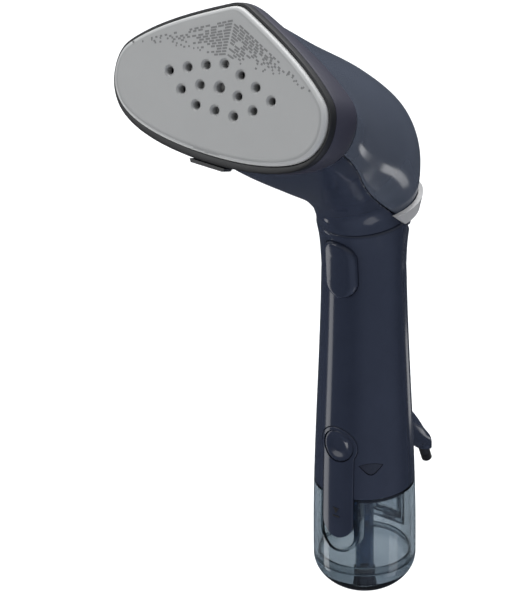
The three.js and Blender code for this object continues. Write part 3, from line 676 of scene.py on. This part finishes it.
GLOSS = {"Specular_IOR_Level": 0.34}
MATERIALS = {
    "navy_gloss": material("navy_gloss", (0.025, 0.031, 0.051), 0.13, 0.0002, 1.6, **GLOSS),
    "slate_gloss": material("slate_gloss", (0.074, 0.086, 0.115), 0.14, 0.0002, 1.6, **GLOSS),
    "navy_matte": material("navy_matte", (0.03, 0.029, 0.048), 0.5, 0.02, 0.35),
    "black_matte": material("black_matte", (0.009, 0.009, 0.0105), 0.42, 0.015, 0.3),
    "inset_navy": material("inset_navy", (0.012, 0.015, 0.026), 0.3, 0.006, 0.3),
    "black_rubber": material("black_rubber", (0.008, 0.008, 0.009), 0.7, 0.02, 0.25),
    "plate_ceramic": material("plate_ceramic", (0.36, 0.36, 0.352), 0.3, 0.004, 0.35, 0.03),
    # lighter copy of the plate's ceramic for its bevelled rim: a painted highlight
    "plate_rim_painted_highlight": material("plate_rim_painted_highlight", (0.5, 0.5, 0.49), 0.25, 0.003, 0.35, 0.03),
    "plate_print": material("plate_print", (0.19, 0.19, 0.187), 0.5, 0.01, 0.3),
    "lever_grey": material("lever_grey", (0.4, 0.395, 0.395), 0.3, 0.006, 0.4),
    "cast_alloy": material("cast_alloy", (0.5, 0.5, 0.49), 0.5, 0.06, 0.6, Metallic=1.0),
    "steel": material("steel", (0.56, 0.56, 0.57), 0.28, 0.01, 0.3, scratch=0.6, Metallic=1.0),
    "brass": material("brass", (0.62, 0.44, 0.17), 0.3, 0.01, 0.3, scratch=0.5, Metallic=1.0),
    "silicone": material("silicone", (0.55, 0.53, 0.48), 0.55, 0.01, 0.5, Subsurface_Weight=0.2),
    "resin": material("resin", (0.24, 0.2, 0.15), 0.5, 0.02, 0.4),
    "board": material("board", (0.012, 0.09, 0.04), 0.35, 0.02, 0.5, 0.15),
    "copper": material("copper", (0.55, 0.24, 0.1), 0.35, 0.05, 0.3, scratch=0.8, Metallic=0.9),
    "inner_grey": material("inner_grey", (0.15, 0.16, 0.165), 0.45, 0.015, 0.4),
    "smoky_clear": material(
        "smoky_clear", (0.66, 0.69, 0.70), 0.04, 0.0012, 2.5, 0.03,
        Transmission_Weight=1.0, IOR=1.46,
    ),
    "clear_tube": material(
        "clear_tube", (0.34, 0.42, 0.52), 0.08, 0.001, 2.0, 0.04,
        Transmission_Weight=1.0, IOR=1.4,
    ),
}


def absorb(name, colour, density):
    """Tint that deepens with the thickness of clear plastic that light crosses."""
    tree = MATERIALS[name].node_tree
    tint = tree.nodes.new("ShaderNodeVolumeAbsorption")
    tint.inputs["Color"].default_value = (*colour, 1)
    tint.inputs["Density"].default_value = density
    tree.links.new(tint.outputs["Volume"], tree.nodes["Material Output"].inputs["Volume"])


absorb("smoky_clear", (0.17, 0.27, 0.35), 290)
absorb("clear_tube", (0.15, 0.3, 0.45), 330)


def dress(obj, name):
    obj.data.materials.clear()
    obj.data.materials.append(MATERIALS[name])


def place(obj, body, slot, *nodes, look=None):
    """Gives a piece its material and its body, and hides the CAD nodes that it stands for."""
    dress(obj, look or slot)
    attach(obj, body)
    if nodes:
        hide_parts(*nodes)
    return obj


# ------------------------------------------------------------ the grip's shells

UP = Vector((0, 0, 1))
SEAM_NORMAL = Vector((0, -SEAM_SLOPE, 1)).normalized()
SEAM_POINT = Vector((0, SEAM_Y, SEAM_Z))
BELOW_SEAM = SEAM_POINT - UP * GAP


def thicken(obj):
    modifier = obj.modifiers.new("wall", "SOLIDIFY")
    modifier.thickness = WALL * MM
    modifier.offset = -1
    modifier.use_even_offset = False
    apply_modifiers(obj)
    return bevelled(obj, 0.2, 2, 60)


def cross_rod(name, radius, near, far, pivot):
    """Rod along X about a pivot's Y and Z."""
    placed = Matrix.Translation((0, *pivot)) @ Matrix.Rotation(math.pi / 2, 4, "Y")
    return to_object(name, turned([(radius, near), (radius, far)], 32), placed)


def lever_pins(name, radius, near, far):
    """Both of the lever's pins, or their holes, as a pair of rods along X."""
    rod = cross_rod(name, radius, near, far, LEVER_PIVOT)
    return combine(rod, cross_rod("twin", radius, -far, -near, LEVER_PIVOT), "UNION")


def front_hole(name, outline):
    """Cutter through the grip's front wall."""
    return to_object(name, prism(outline, FRONT_Y, -8))


def trigger_outline(inset=0.0):
    return rounded_slot(TRIGGER_HALF, TRIGGER_LOW, TRIGGER_HIGH, TRIGGER_HALF, inset)


def inset_matrix():
    return Matrix.Rotation(math.radians(INSET_ANGLE), 4, "Z")


def build_front_shell():
    bm = skin(GRIP_BOTTOM)
    slice_along(bm, (0, PARTING_Y - GAP / 2, 0), (0, 1, 0))
    slice_along(bm, (0, 0, GRIP_TOP), UP)
    round_over(bm, (0, 0, GRIP_TOP), UP, 2.2)
    shell = thicken(to_object("front_shell", bm, closed=False))
    spine_seat = plug(lambda i: keyhole(-GAP + i), barrel_depth(-1.2), reach=6)
    cut(
        shell,
        inset_cutter(),
        to_object("seat", spine_seat),
        front_hole("trigger_window", trigger_outline(-GAP)),
        front_hole("button_hole", disc(BUTTON_R + GAP, BUTTON_Z)),
    )
    polish(shell, SKIN_REFERENCE)
    place(shell, "handle", "navy_gloss", "handle_front_shell")


def inset_outline(inset):
    return [(x, INSET_Z + z) for x, z in lens(inset)]


def inset_cutter():
    face = -grip_radius(INSET_Z)
    bm = prism(inset_outline(-GAP), face - 3, face + INSET_POCKET)
    return to_object("inset_cutter", bm, inset_matrix())


def build_inset():
    face, back = (barrel_depth(-depth) for depth in INSET_DEPTHS)
    bm = pad(inset_outline, face, back, 0.25, 1.9)
    inset = to_object("lens_inset", bm, inset_matrix())
    place(inset, "handle", "black_matte", "grip_inset", look="inset_navy")


def build_rear_shell():
    bm = skin(GRIP_BOTTOM)
    slice_along(bm, (0, PARTING_Y + GAP / 2, 0), (0, -1, 0))
    slice_along(bm, BELOW_SEAM, SEAM_NORMAL)
    round_over(bm, BELOW_SEAM, SEAM_NORMAL, 2)
    shell = thicken(to_object("rear_shell", bm, closed=False))
    for screw in ("shell_screw_1", "shell_screw_2", "shell_screw_3"):
        z = (low(screw).z + high(screw).z) / 2
        cut(shell, to_object("screw_seat", prism(disc(SCREW_SEAT_R, z, count=40), 15, BACK_Y)))
    polish(shell, SKIN_REFERENCE)
    place(shell, "handle", "navy_gloss", "handle_rear_shell")


def build_back_cover():
    bm = skin(NECK_FROM + 3)
    slice_along(bm, SEAM_POINT, -SEAM_NORMAL)
    round_over(bm, SEAM_POINT, -SEAM_NORMAL, 1.3)
    cover = thicken(to_object("hood", bm, closed=False))
    cut(cover, lever_pins("pin_holes", LEVER_PIN_R + GAP, 15, 26))
    polish(cover, SKIN_REFERENCE)
    place(cover, "handle", "slate_gloss", "back_cover")


def build_chin_cover():
    bm = skin(NECK_FROM + 3, WAIST_PINCH)
    slice_along(bm, (0, 0, GRIP_TOP + GAP), -UP)
    slice_along(bm, BELOW_SEAM, SEAM_NORMAL)
    round_over(bm, BELOW_SEAM, SEAM_NORMAL, 0.9)
    chin = thicken(to_object("chin", bm, closed=False))
    polish(chin, CHIN_REFERENCE)
    place(chin, "handle", "navy_gloss", "chin_cover")


# --------------------------------------------------- spine, button and trigger


def spine_base(x, z):
    deep = lerp(2.5, 0.9, smoothstep(z, GRIP_BOTTOM - 3, GRIP_BOTTOM - 0.6))
    return barrel_depth(-deep)(x, z)


def build_spine():
    bm = pad(keyhole, barrel_depth(SPINE_PROUD), spine_base, 0.45, 7.4)
    spine = to_object("spine", bm)
    cut(spine, front_hole("button_hole", disc(BUTTON_R + GAP, BUTTON_Z)))
    polish(spine, SKIN_REFERENCE)
    place(spine, "handle", "navy_gloss", "front_spine")


def build_tongue_marks():
    """Two small raised marks on the tongue: a pull-down arrow and a bar."""
    bm = bmesh.new()
    shapes = [
        [(-1.7, 50), (1.7, 50), (0, 47.2)],
        [(-1.7, 46), (1.7, 46), (1.7, 45.2), (-1.7, 45.2)],
    ]
    face = barrel_depth(SPINE_PROUD)
    for shape in shapes:
        add_slab(
            bm,
            [(x, face(x, z) - 0.14, z) for x, z in shape],
            [(x, face(x, z) + 0.2, z) for x, z in shape],
        )
    marks = to_object("tongue_marks", bm)
    place(marks, "handle", "black_matte")


def build_button():
    def dish(inset):
        return 1.5 * smoothstep(inset, 0.6, 5.4)
    bm = pad(
        lambda i: disc(BUTTON_R, BUTTON_Z, i), barrel_depth(-0.1),
        lambda x, z: -15.2, 0.6, BUTTON_R - 0.15, dish,
    )
    button = to_object("button_cap", bm)
    place(button, "release", "navy_gloss", "release_button")


def build_trigger():
    middle = (TRIGGER_LOW + TRIGGER_HIGH) / 2

    def face(x, z):
        up = z - middle
        crown = GRIP_R_TOP + TRIGGER_PROUD - 0.1 + up * lerp(0.02, 0.15, smoothstep(up, -8, 8))
        return -math.sqrt(crown**2 - x * x)
    bm = pad(trigger_outline, face, lambda x, z: -13.2, 2.1, TRIGGER_HALF - 0.15)
    trigger = to_object("trigger_pad", bm)
    place(trigger, "trigger", "navy_gloss", "steam_trigger")


# ------------------------------------------------------------------- the tank


def tank_solid(name, offset, bottom, top, rows=16):
    """Solid up the barrel's own curve, grown by an offset."""
    heights = [lerp(bottom, top, i / rows) for i in range(rows + 1)]
    return to_object(name, turned([(grip_radius(z) + offset, z) for z in heights], AROUND))


def pocket(name, grow):
    """Recess in the tank's front for the spine's tongue."""
    half = SPINE_HALF + 0.5 + grow

    def outline(inset):
        return rounded_slot(half, POCKET_END - grow, 90, half, inset, 20)
    return to_object(name, plug(outline, barrel_depth(-POCKET_DEPTH - grow), reach=7))


def well(name, grow):
    """Recess that the latch hooks into."""
    half, inner, bottom = WELL[0] + grow, WELL[1] + grow, WELL[2] - grow
    size = (2 * half, 30, 40)
    return to_object(name, block(size, (0, inner - 15, bottom + 20)))


def flap_outline(grow):
    def outline(inset):
        return rounded_slot(FLAP_HALF + grow, FLAP_LOW - grow, FLAP_HIGH + grow, 2 + grow, inset, 8)
    return outline


def hinge_rod(name, radius, half):
    return cross_rod(name, radius, -half, half, HINGE)


def join_inside(body, piece):
    """Adds to the tank what lies within its outer face."""
    combine(piece, tank_solid("outer", -0.4, TANK_SEAM + 2, TANK_TOP - 0.4), "INTERSECT")
    combine(body, piece, "UNION")


def build_tank_body():
    body = tank_solid("tank_shell", 0, TANK_SEAM + GAP, TANK_TOP)
    cut(body, tank_solid("hollow", -TANK_WALL, TANK_SEAM - 1, TANK_TOP - DECK))
    for piece in (pocket("pocket_wall", 1.5), well("well_wall", 1.5)):
        join_inside(body, piece)
    frame_size = (2 * FLAP_HALF + 4, 12, FLAP_HIGH - FLAP_LOW + 4)
    frame_middle = (0, TANK_R + 0.6, (FLAP_LOW + FLAP_HIGH) / 2)
    join_inside(body, to_object("door_frame", block(frame_size, frame_middle)))
    doorway = rounded_slot(FLAP_HALF - 2, FLAP_LOW + 2.5, FLAP_HIGH - 2.5, 1.5)
    seat = to_object("seat", prism(flap_outline(GAP)(0), 10, BACK_Y))
    cut(seat, tank_solid("floor", -2, 10, 60))
    cut(
        body, pocket("pocket", 0), well("well", 0),
        to_object("doorway", prism(doorway, BACK_Y, 10)), seat,
        to_object("port", turned([(7.2, 40), (7.2, 60)], 48)),
        hinge_rod("knuckle_room", 1.6, 3.3),
    )
    polish(body, SKIN_REFERENCE)
    place(body, "tank", "smoky_clear", "tank_body")


def build_dome():
    """The tank's foot: a bowl with a lip that stands up inside the tank's wall."""
    rows = 22
    outer, inner = [], []
    lowest = math.asin(TANK_SEAM / DOME_DEPTH)
    for i in range(rows + 1):
        lean = lowest * (1 - i / rows)
        outer.append((TANK_R * math.cos(lean), TANK_SEAM - DOME_DEPTH * math.sin(lean)))
        turn = math.radians(90 * i / rows)
        inner.append((
            max((TANK_R - TANK_WALL) * math.sin(turn), 0.3),
            TANK_SEAM - (TANK_SEAM - TANK_WALL) * math.cos(turn),
        ))
    lip = TANK_R - TANK_WALL - GAP
    shoulder, rim = TANK_SEAM + 2.8, TANK_SEAM + 3.1
    bowl = [step for step in inner if step[0] < lip - 1.6]
    spigot = [
        (lip, TANK_SEAM), (lip, shoulder), (lip - 0.3, rim), (lip - 0.9, rim),
        (lip - 1.2, shoulder),
    ]
    profile = [(0.3, 0)] + outer + spigot + bowl[::-1]
    dome = to_object("dome_shell", turned(profile, AROUND))
    place(dome, "tank", "smoky_clear", "tank_dome")


def build_flap():
    leaf = to_object("flap_leaf", pad(
        flap_outline(0), barrel_depth(0.35, 1), barrel_depth(-1.6, 1), 0.5, 6.5, side=1))
    middle = (FLAP_LOW + FLAP_HIGH) / 2
    stopper = rounded_slot(FLAP_HALF - 2.5, middle - 3.5, middle + 3.5, 1.2)
    parts = [
        to_object("stopper", prism(stopper, TANK_R - 3.6, TANK_R - 1.2)),
        to_object("lip", block((7, 1.8, 1.2), (0, TANK_R + 0.7, FLAP_HIGH - 1.2))),
        to_object("web", block((5.6, 0.9, 2.2), (0, HINGE[0] - 0.45, HINGE[1] + 1.1))),
        hinge_rod("knuckle", 1.3, 3),
    ]
    for part in parts:
        combine(leaf, part, "UNION")
    cut(leaf, hinge_rod("pin_bore", 0.75, 9))
    smooth(leaf)
    place(leaf, "flap", "smoky_clear", "filler_flap")


def build_tank_inside():
    bottom, top = low("suction_tube").z, high("suction_tube").z
    outer, bore = TUBE_RADII
    outline = [
        (bore, bottom), (outer - 0.3, bottom), (outer, bottom + 0.4), (outer, top - 0.4),
        (outer - 0.3, top), (bore, top),
    ]
    tube = to_object("draw_tube", ring_tube(outline, 64))
    place(tube, "tank", "smoky_clear", "suction_tube", look="clear_tube")


# ------------------------------------------------------------------- the head


def build_soleplate():
    profile = [
        (-0.4, PLATE_THICK), (0, PLATE_THICK - 0.4), (0, 2), (-0.12, 1.35), (-0.45, 0.8),
        (-0.95, 0.42), (-1.6, 0.17), (-2.3, 0.04), (-3, 0),
    ]
    rings = [plate_ring(grow, depth) for grow, depth in profile]
    plate = to_object("steam_plate", loft(rings), HEAD, 40)
    for across, up in STEAM_HOLES:
        for side in ((-1, 1) if across else (1,)):
            radius = HOLE_R if across or up else MIDDLE_HOLE_R
            bit = [
                (radius, -8), (radius, -1.1), (radius + 0.16, -0.7), (radius + 0.6, -0.28),
                (radius + 1, 0), (radius + 1.4, 0.2), (radius + 1.4, 2),
            ]
            spot = Matrix.Translation((side * across * HOLE_PITCH[0], up * HOLE_PITCH[1], 0))
            cut(plate, to_object("bit", turned(bit, 40), HEAD @ spot))
    smooth(plate, 30)
    outwards = HEAD.to_3x3() @ UP
    flatten(plate, outwards)
    place(plate, "handle", "plate_ceramic", "soleplate")
    # the bevelled rim's faces take a lighter copy of the plate's colour, a painted highlight
    plate.data.materials.append(MATERIALS["plate_rim_painted_highlight"])
    inside_head = HEAD.inverted()
    for polygon in plate.data.polygons:
        at = inside_head @ (polygon.center / MM)
        if at.xy.length > HOLES_WITHIN and polygon.normal.dot(outwards) < 0.95:
            polygon.material_index = 1


def build_pattern():
    """Printed wings of dashes below the tip: rows along each upper edge that thin out sideways."""
    dice = random.Random(7)
    bm = bmesh.new()
    for side in (-1, 1):
        for row in range(DASH_ROWS):
            start = Vector((0.5, PLATE_TIP - 6.2 - DASH_PITCH * row))
            lean = math.radians(DASH_LEAN) + 0.012 * row
            along = Vector((math.cos(lean), math.sin(lean)))
            reach = DASH_REACH * (1 - row / (DASH_ROWS + 1))
            at = 0.0
            while at < reach:
                share = at / reach
                length = lerp(3, 0.8, min(share * 1.25, 1)) * dice.uniform(0.7, 1.25)
                if dice.random() > 0.1 + 0.5 * share * share:
                    add_dash(bm, start + along * at, along, length, side)
                at += length + dice.uniform(0.4, 0.65) + 1.2 * share
    pattern = to_object("plate_pattern", bm, HEAD)
    place(pattern, "handle", "plate_ceramic", look="plate_print")


def add_dash(bm, start, along, length, side):
    across = Vector((-along.y, along.x)) * DASH_HALF_WIDE
    end = start + along * length
    corners = [start - across, end - across, end + across, start + across]
    add_slab(
        bm,
        [(side * p.x, p.y, 0.025) for p in corners],
        [(side * p.x, p.y, -0.05) for p in corners],
    )


def build_bezel():
    near, far = BEZEL_DEPTHS
    wide, foot = BEZEL_WIDTH, BEZEL_FOOT
    profile = [
        (GAP, far, 0), (GAP, near + 0.3, 0), (0.5, near, 0), (0.7, near - 0.02, foot * 0.2),
        (wide - 0.3, near + 0.02, foot * 0.85), (wide - 0.1, near + 0.15, foot * 0.95),
        (wide, near + 0.5, foot), (wide, far - 0.2, foot), (wide - 0.2, far, foot),
    ]
    rings = [plate_ring(grow, depth, 0, low_end) for grow, depth, low_end in profile]
    bezel = to_object("bezel", loft(rings, wrap=True), HEAD)
    place(bezel, "handle", "black_matte", "plate_bezel")


def through(values, s):
    """Smooth curve through three values at s = 0, 1/2 and 1."""
    a, b, c = values
    return a * (2 * s - 1) * (s - 1) + 4 * b * s * (1 - s) + c * s * (2 * s - 1)


def build_skirt():
    near, _, far = SKIRT_DEPTHS
    rows = 14
    outer = []
    for i in range(rows + 1):
        s = i / rows
        outer.append((
            through(SKIRT_GROWS, s), lerp(near, far, s), through(SKIRT_DROPS, s),
            through(SKIRT_FEET, s),
        ))
    first, last = outer[0], outer[-1]
    rim = [(first[0] - 0.35, near, *first[2:]), (first[0] - 0.1, near + 0.1, *first[2:])]
    back = [(last[0] - 0.1, far - 0.1, *last[2:]), (last[0] - 0.35, far, *last[2:])]
    inner = [(step[0] - WALL, *step[1:]) for step in outer[::-1]]
    rings = [plate_ring(*step) for step in rim + outer[1:-1] + back + inner]
    skirt = to_object("skirt", loft(rings, wrap=True), HEAD)
    place(skirt, "handle", "navy_matte", "head_skirt")


# ------------------------------------------------------ lever, boss and gland


def build_lever():
    """The band is a strip of the neck's skin, grown and thickened, with a tab for the thumb."""
    bm = skin(NECK_FROM + 3, grow=LEVER_ROOM + LEVER_THICK, rows=150)
    slice_along(bm, (0, 0, LEVER_LOW), -UP)
    slice_along(bm, (0, 0, LEVER_HIGH), UP)
    slice_along(bm, SEAM_POINT - UP * LEVER_DROP, -SEAM_NORMAL)
    slice_along(bm, (0, -9, 0), (0, -1, 0))
    lever = to_object("lever_band", bm, closed=False)
    modifier = lever.modifiers.new("band", "SOLIDIFY")
    modifier.thickness = LEVER_THICK * MM
    modifier.offset = -1
    apply_modifiers(lever)
    tab = to_object("tab", turned([(TAB_R, z) for z in TAB_Z]), Matrix.Translation((0, TAB_Y, 0)))
    cut(tab, to_object("room", neck_core()))
    combine(lever, bevelled(tab, 0.8, 4, 50), "UNION")
    bevelled(lever, 0.7, 4, 50)
    combine(lever, lever_pins("pins", LEVER_PIN_R, 17, 21.6), "UNION")
    smooth(lever)
    place(lever, "lever", "lever_grey", "thumb_lever")


def neck_core():
    """Closed solid inside the band, a little larger than the neck's skin there."""
    stations = [between(NECK_STATIONS, i / 120) for i in range(60)]
    return loft([section_ring(station, 0, LEVER_ROOM + 0.9) for station in stations])


def oval_ring(y, z, lean, half_x, half_v):
    lean = math.radians(lean)
    ring = []
    for turn in full_turn(64):
        v = half_v * math.cos(turn)
        ring.append(Vector((
            half_x * math.sin(turn), y + v * math.cos(lean), z + v * math.sin(lean))))
    return ring


def build_boss():
    y, z, lean, half_x, half_v = BOSS_RINGS[0]
    rings = [
        oval_ring(y, z, lean, half_x - 0.7, half_v - 0.7),
        oval_ring(y, z + 0.15, lean, half_x - 0.2, half_v - 0.2),
    ]
    rings += [oval_ring(*between(BOSS_RINGS, i / BOSS_STEPS)) for i in range(1, BOSS_STEPS + 1)]
    boss = to_object("boss", loft(rings))
    turn = Matrix.Translation((0, *BUSH)) @ Matrix.Rotation(math.radians(BUSH_LEAN), 4, "X")
    mouth = to_object("mouth", turned([(BUSH_R + GAP, -9), (BUSH_R + GAP, 3.4)], 40), turn)
    cut(boss, mouth, tank_solid("inside", GAP, 30, 120, 40))
    smooth(boss, 40)
    place(boss, "handle", "navy_gloss", "cord_boss")
    outline = [
        (CORD_R, 3), (CORD_R, -6), (CORD_R + 0.15, -6.2), (BUSH_R - 0.25, -6.2), (BUSH_R, -5.9),
    ]
    groove = BUSH_R - 0.3
    for z in (-5, -4, -3, -2):
        outline += [(BUSH_R, z - 0.3), (groove, z - 0.15), (groove, z + 0.15), (BUSH_R, z + 0.3)]
    outline += [(BUSH_R, 2.8), (BUSH_R - 0.2, 3)]
    bush = to_object("collar", ring_tube(outline), turn)
    place(bush, "handle", "black_rubber", "gland_bush")


# --------------------------------------------------------------------- springs


SPRING_STEPS = 28  # rings in each turn of wire


def build_spring(node, turns, wire=0.4):
    """Coil spring behind a button."""
    near, far = low(node), high(node)
    radius = (far.x - near.x) / 2 - wire
    middle = (near + far) / 2
    steps = turns * SPRING_STEPS
    rings = []
    for i in range(steps + 1):
        turn = 2 * math.pi * turns * i / steps
        out = Vector((math.cos(turn), 0, math.sin(turn)))
        at = middle + out * radius
        at.y = lerp(near.y + wire, far.y - wire, i / steps)
        rings.append([
            at + out * (wire * math.cos(a)) + Vector((0, wire * math.sin(a), 0))
            for a in full_turn(12)
        ])
    coil = to_object(node.replace("spring", "coil"), loft(rings), sharp=50)
    place(coil, "handle", "steel", node)
    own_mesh(coil)


# ----------------------------------------------------- stage, light and camera

FLOOR_Z = -0.5
CAMERA_AT = Vector((1.1323, -1.6954, 1.2882))
CAMERA_AIM = Vector((-0.0363, -0.0243, 0.1462))
CAMERA_ROLL = -0.75
CAMERA_LENS = 316.2
GRIP_MIDDLE = Vector((0, 0, 0.15))


def build_camera():
    camera = bpy.data.objects.new("camera", bpy.data.cameras.new("camera"))
    bpy.context.scene.collection.objects.link(camera)
    camera.data.lens = CAMERA_LENS
    camera.data.clip_end = 100
    camera.location = CAMERA_AT
    camera.rotation_mode = "QUATERNION"
    roll = Quaternion((0, 0, 1), math.radians(CAMERA_ROLL))
    camera.rotation_quaternion = (CAMERA_AIM - CAMERA_AT).to_track_quat("-Z", "Y") @ roll
    bpy.context.scene.camera = camera


def softbox(name, at, aim, wide, tall, radiance):
    """Area light of a given brightness that shows in reflections but not to the camera."""
    light = bpy.data.lights.new(name, "AREA")
    light.shape = "RECTANGLE"
    light.size = wide
    light.size_y = tall
    light.energy = radiance * math.pi * wide * tall
    lamp = bpy.data.objects.new(name, light)
    bpy.context.scene.collection.objects.link(lamp)
    lamp.location = at
    lamp.rotation_mode = "QUATERNION"
    lamp.rotation_quaternion = (Vector(aim) - Vector(at)).to_track_quat("-Z", "Y")
    lamp.visible_camera = False
    lamp.visible_transmission = False


DIM_LOW = (0.045, 0.05, 0.062, 1)
PALE_HIGH = (0.5, 0.52, 0.55, 1)
LOW_FILL = (0.36, 0.42, 0.6, 1)
LOW_FILL_TOWARD = Vector((0.77, -0.28, -0.57))


def build_world():
    """Soft studio surround: pale above, dim below, where only reflections see it, with a cool
    glow low on the right."""
    world = bpy.data.worlds.new("studio")
    bpy.context.scene.world = world
    world.use_nodes = True
    nodes, links = world.node_tree.nodes, world.node_tree.links
    where = nodes.new("ShaderNodeTexCoord")
    split = nodes.new("ShaderNodeSeparateXYZ")
    links.new(where.outputs["Generated"], split.inputs["Vector"])
    shade = nodes.new("ShaderNodeValToRGB")
    for end, position, colour in zip(shade.color_ramp.elements, (0.42, 0.66), (DIM_LOW, PALE_HIGH)):
        end.position = position
        end.color = colour
    height = nodes.new("ShaderNodeMapRange")
    height.inputs["From Min"].default_value = -1
    links.new(split.outputs["Z"], height.inputs["Value"])
    links.new(height.outputs["Result"], shade.inputs["Fac"])
    toward = nodes.new("ShaderNodeVectorMath")
    toward.operation = "DOT_PRODUCT"
    toward.inputs[1].default_value = LOW_FILL_TOWARD
    links.new(where.outputs["Generated"], toward.inputs[0])
    fill = nodes.new("ShaderNodeMapRange")
    fill.interpolation_type = "SMOOTHSTEP"
    fill.inputs["From Min"].default_value = 0.5
    fill.inputs["From Max"].default_value = 1.0
    links.new(toward.outputs["Value"], fill.inputs["Value"])
    both = nodes.new("ShaderNodeMix")
    both.data_type = "RGBA"
    both.blend_type = "ADD"
    sky, glow = (i for i in both.inputs if i.name in "AB" and i.type == "RGBA")
    glow.default_value = LOW_FILL
    links.new(fill.outputs["Result"], both.inputs["Factor"])
    links.new(shade.outputs["Color"], sky)
    total = next(o for o in both.outputs if o.type == "RGBA")
    links.new(total, nodes["Background"].inputs["Color"])


def build_stage():
    build_world()
    bm = bmesh.new()
    bmesh.ops.create_grid(bm, x_segments=4, y_segments=4, size=12 / MM)
    floor = to_object("floor", bm, Matrix.Translation((0, 0, FLOOR_Z / MM)))
    floor.data.materials.append(material("floor", (0.88, 0.88, 0.88), 0.8, 0.05, 3, 0.01))
    floor.visible_glossy = False

    softbox("plate_light", (-0.9, -1.5, 0.7), (0, -0.1, 0.28), 0.9, 0.9, 2.4)
    softbox("strip_left", (-0.55, -0.30, -0.12), GRIP_MIDDLE, 0.16, 0.62, 2.7)
    softbox("neck_card", (0.06, 0.46, -0.14), (0.025, -0.01, 0.22), 0.14, 0.05, 1.0)
    softbox("shoulder_card", (0.36, 0.06, -0.26), (0, -0.01, 0.2), 0.16, 0.16, 1.2)
    softbox("top_light", (0.3, 0.7, 1.5), (0, 0, 0.2), 1.0, 1.0, 1.6)
    softbox("backdrop_light", (-0.8, 1.2, 1.6), (-0.8, 1.2, FLOOR_Z), 2.6, 2.6, 3.0)


# ------------------------------------------------------------------- assembly

build_camera()
build_stage()

LOOKS = {part["node"]: part["material_slot"] for part in frame["record"]["subparts"]}
for node, obj in frame["nodes"].items():
    smooth(obj)
    dress(obj, LOOKS[node])

build_front_shell()
build_inset()
build_rear_shell()
build_back_cover()
build_chin_cover()
build_spine()
build_tongue_marks()
build_button()
build_trigger()
build_tank_body()
build_dome()
build_flap()
build_tank_inside()
build_soleplate()
build_pattern()
build_bezel()
build_skirt()
build_lever()
build_boss()
build_spring("trigger_spring", 4)
build_spring("button_spring", 3)

bpy.context.scene.view_settings.view_transform = "Standard"
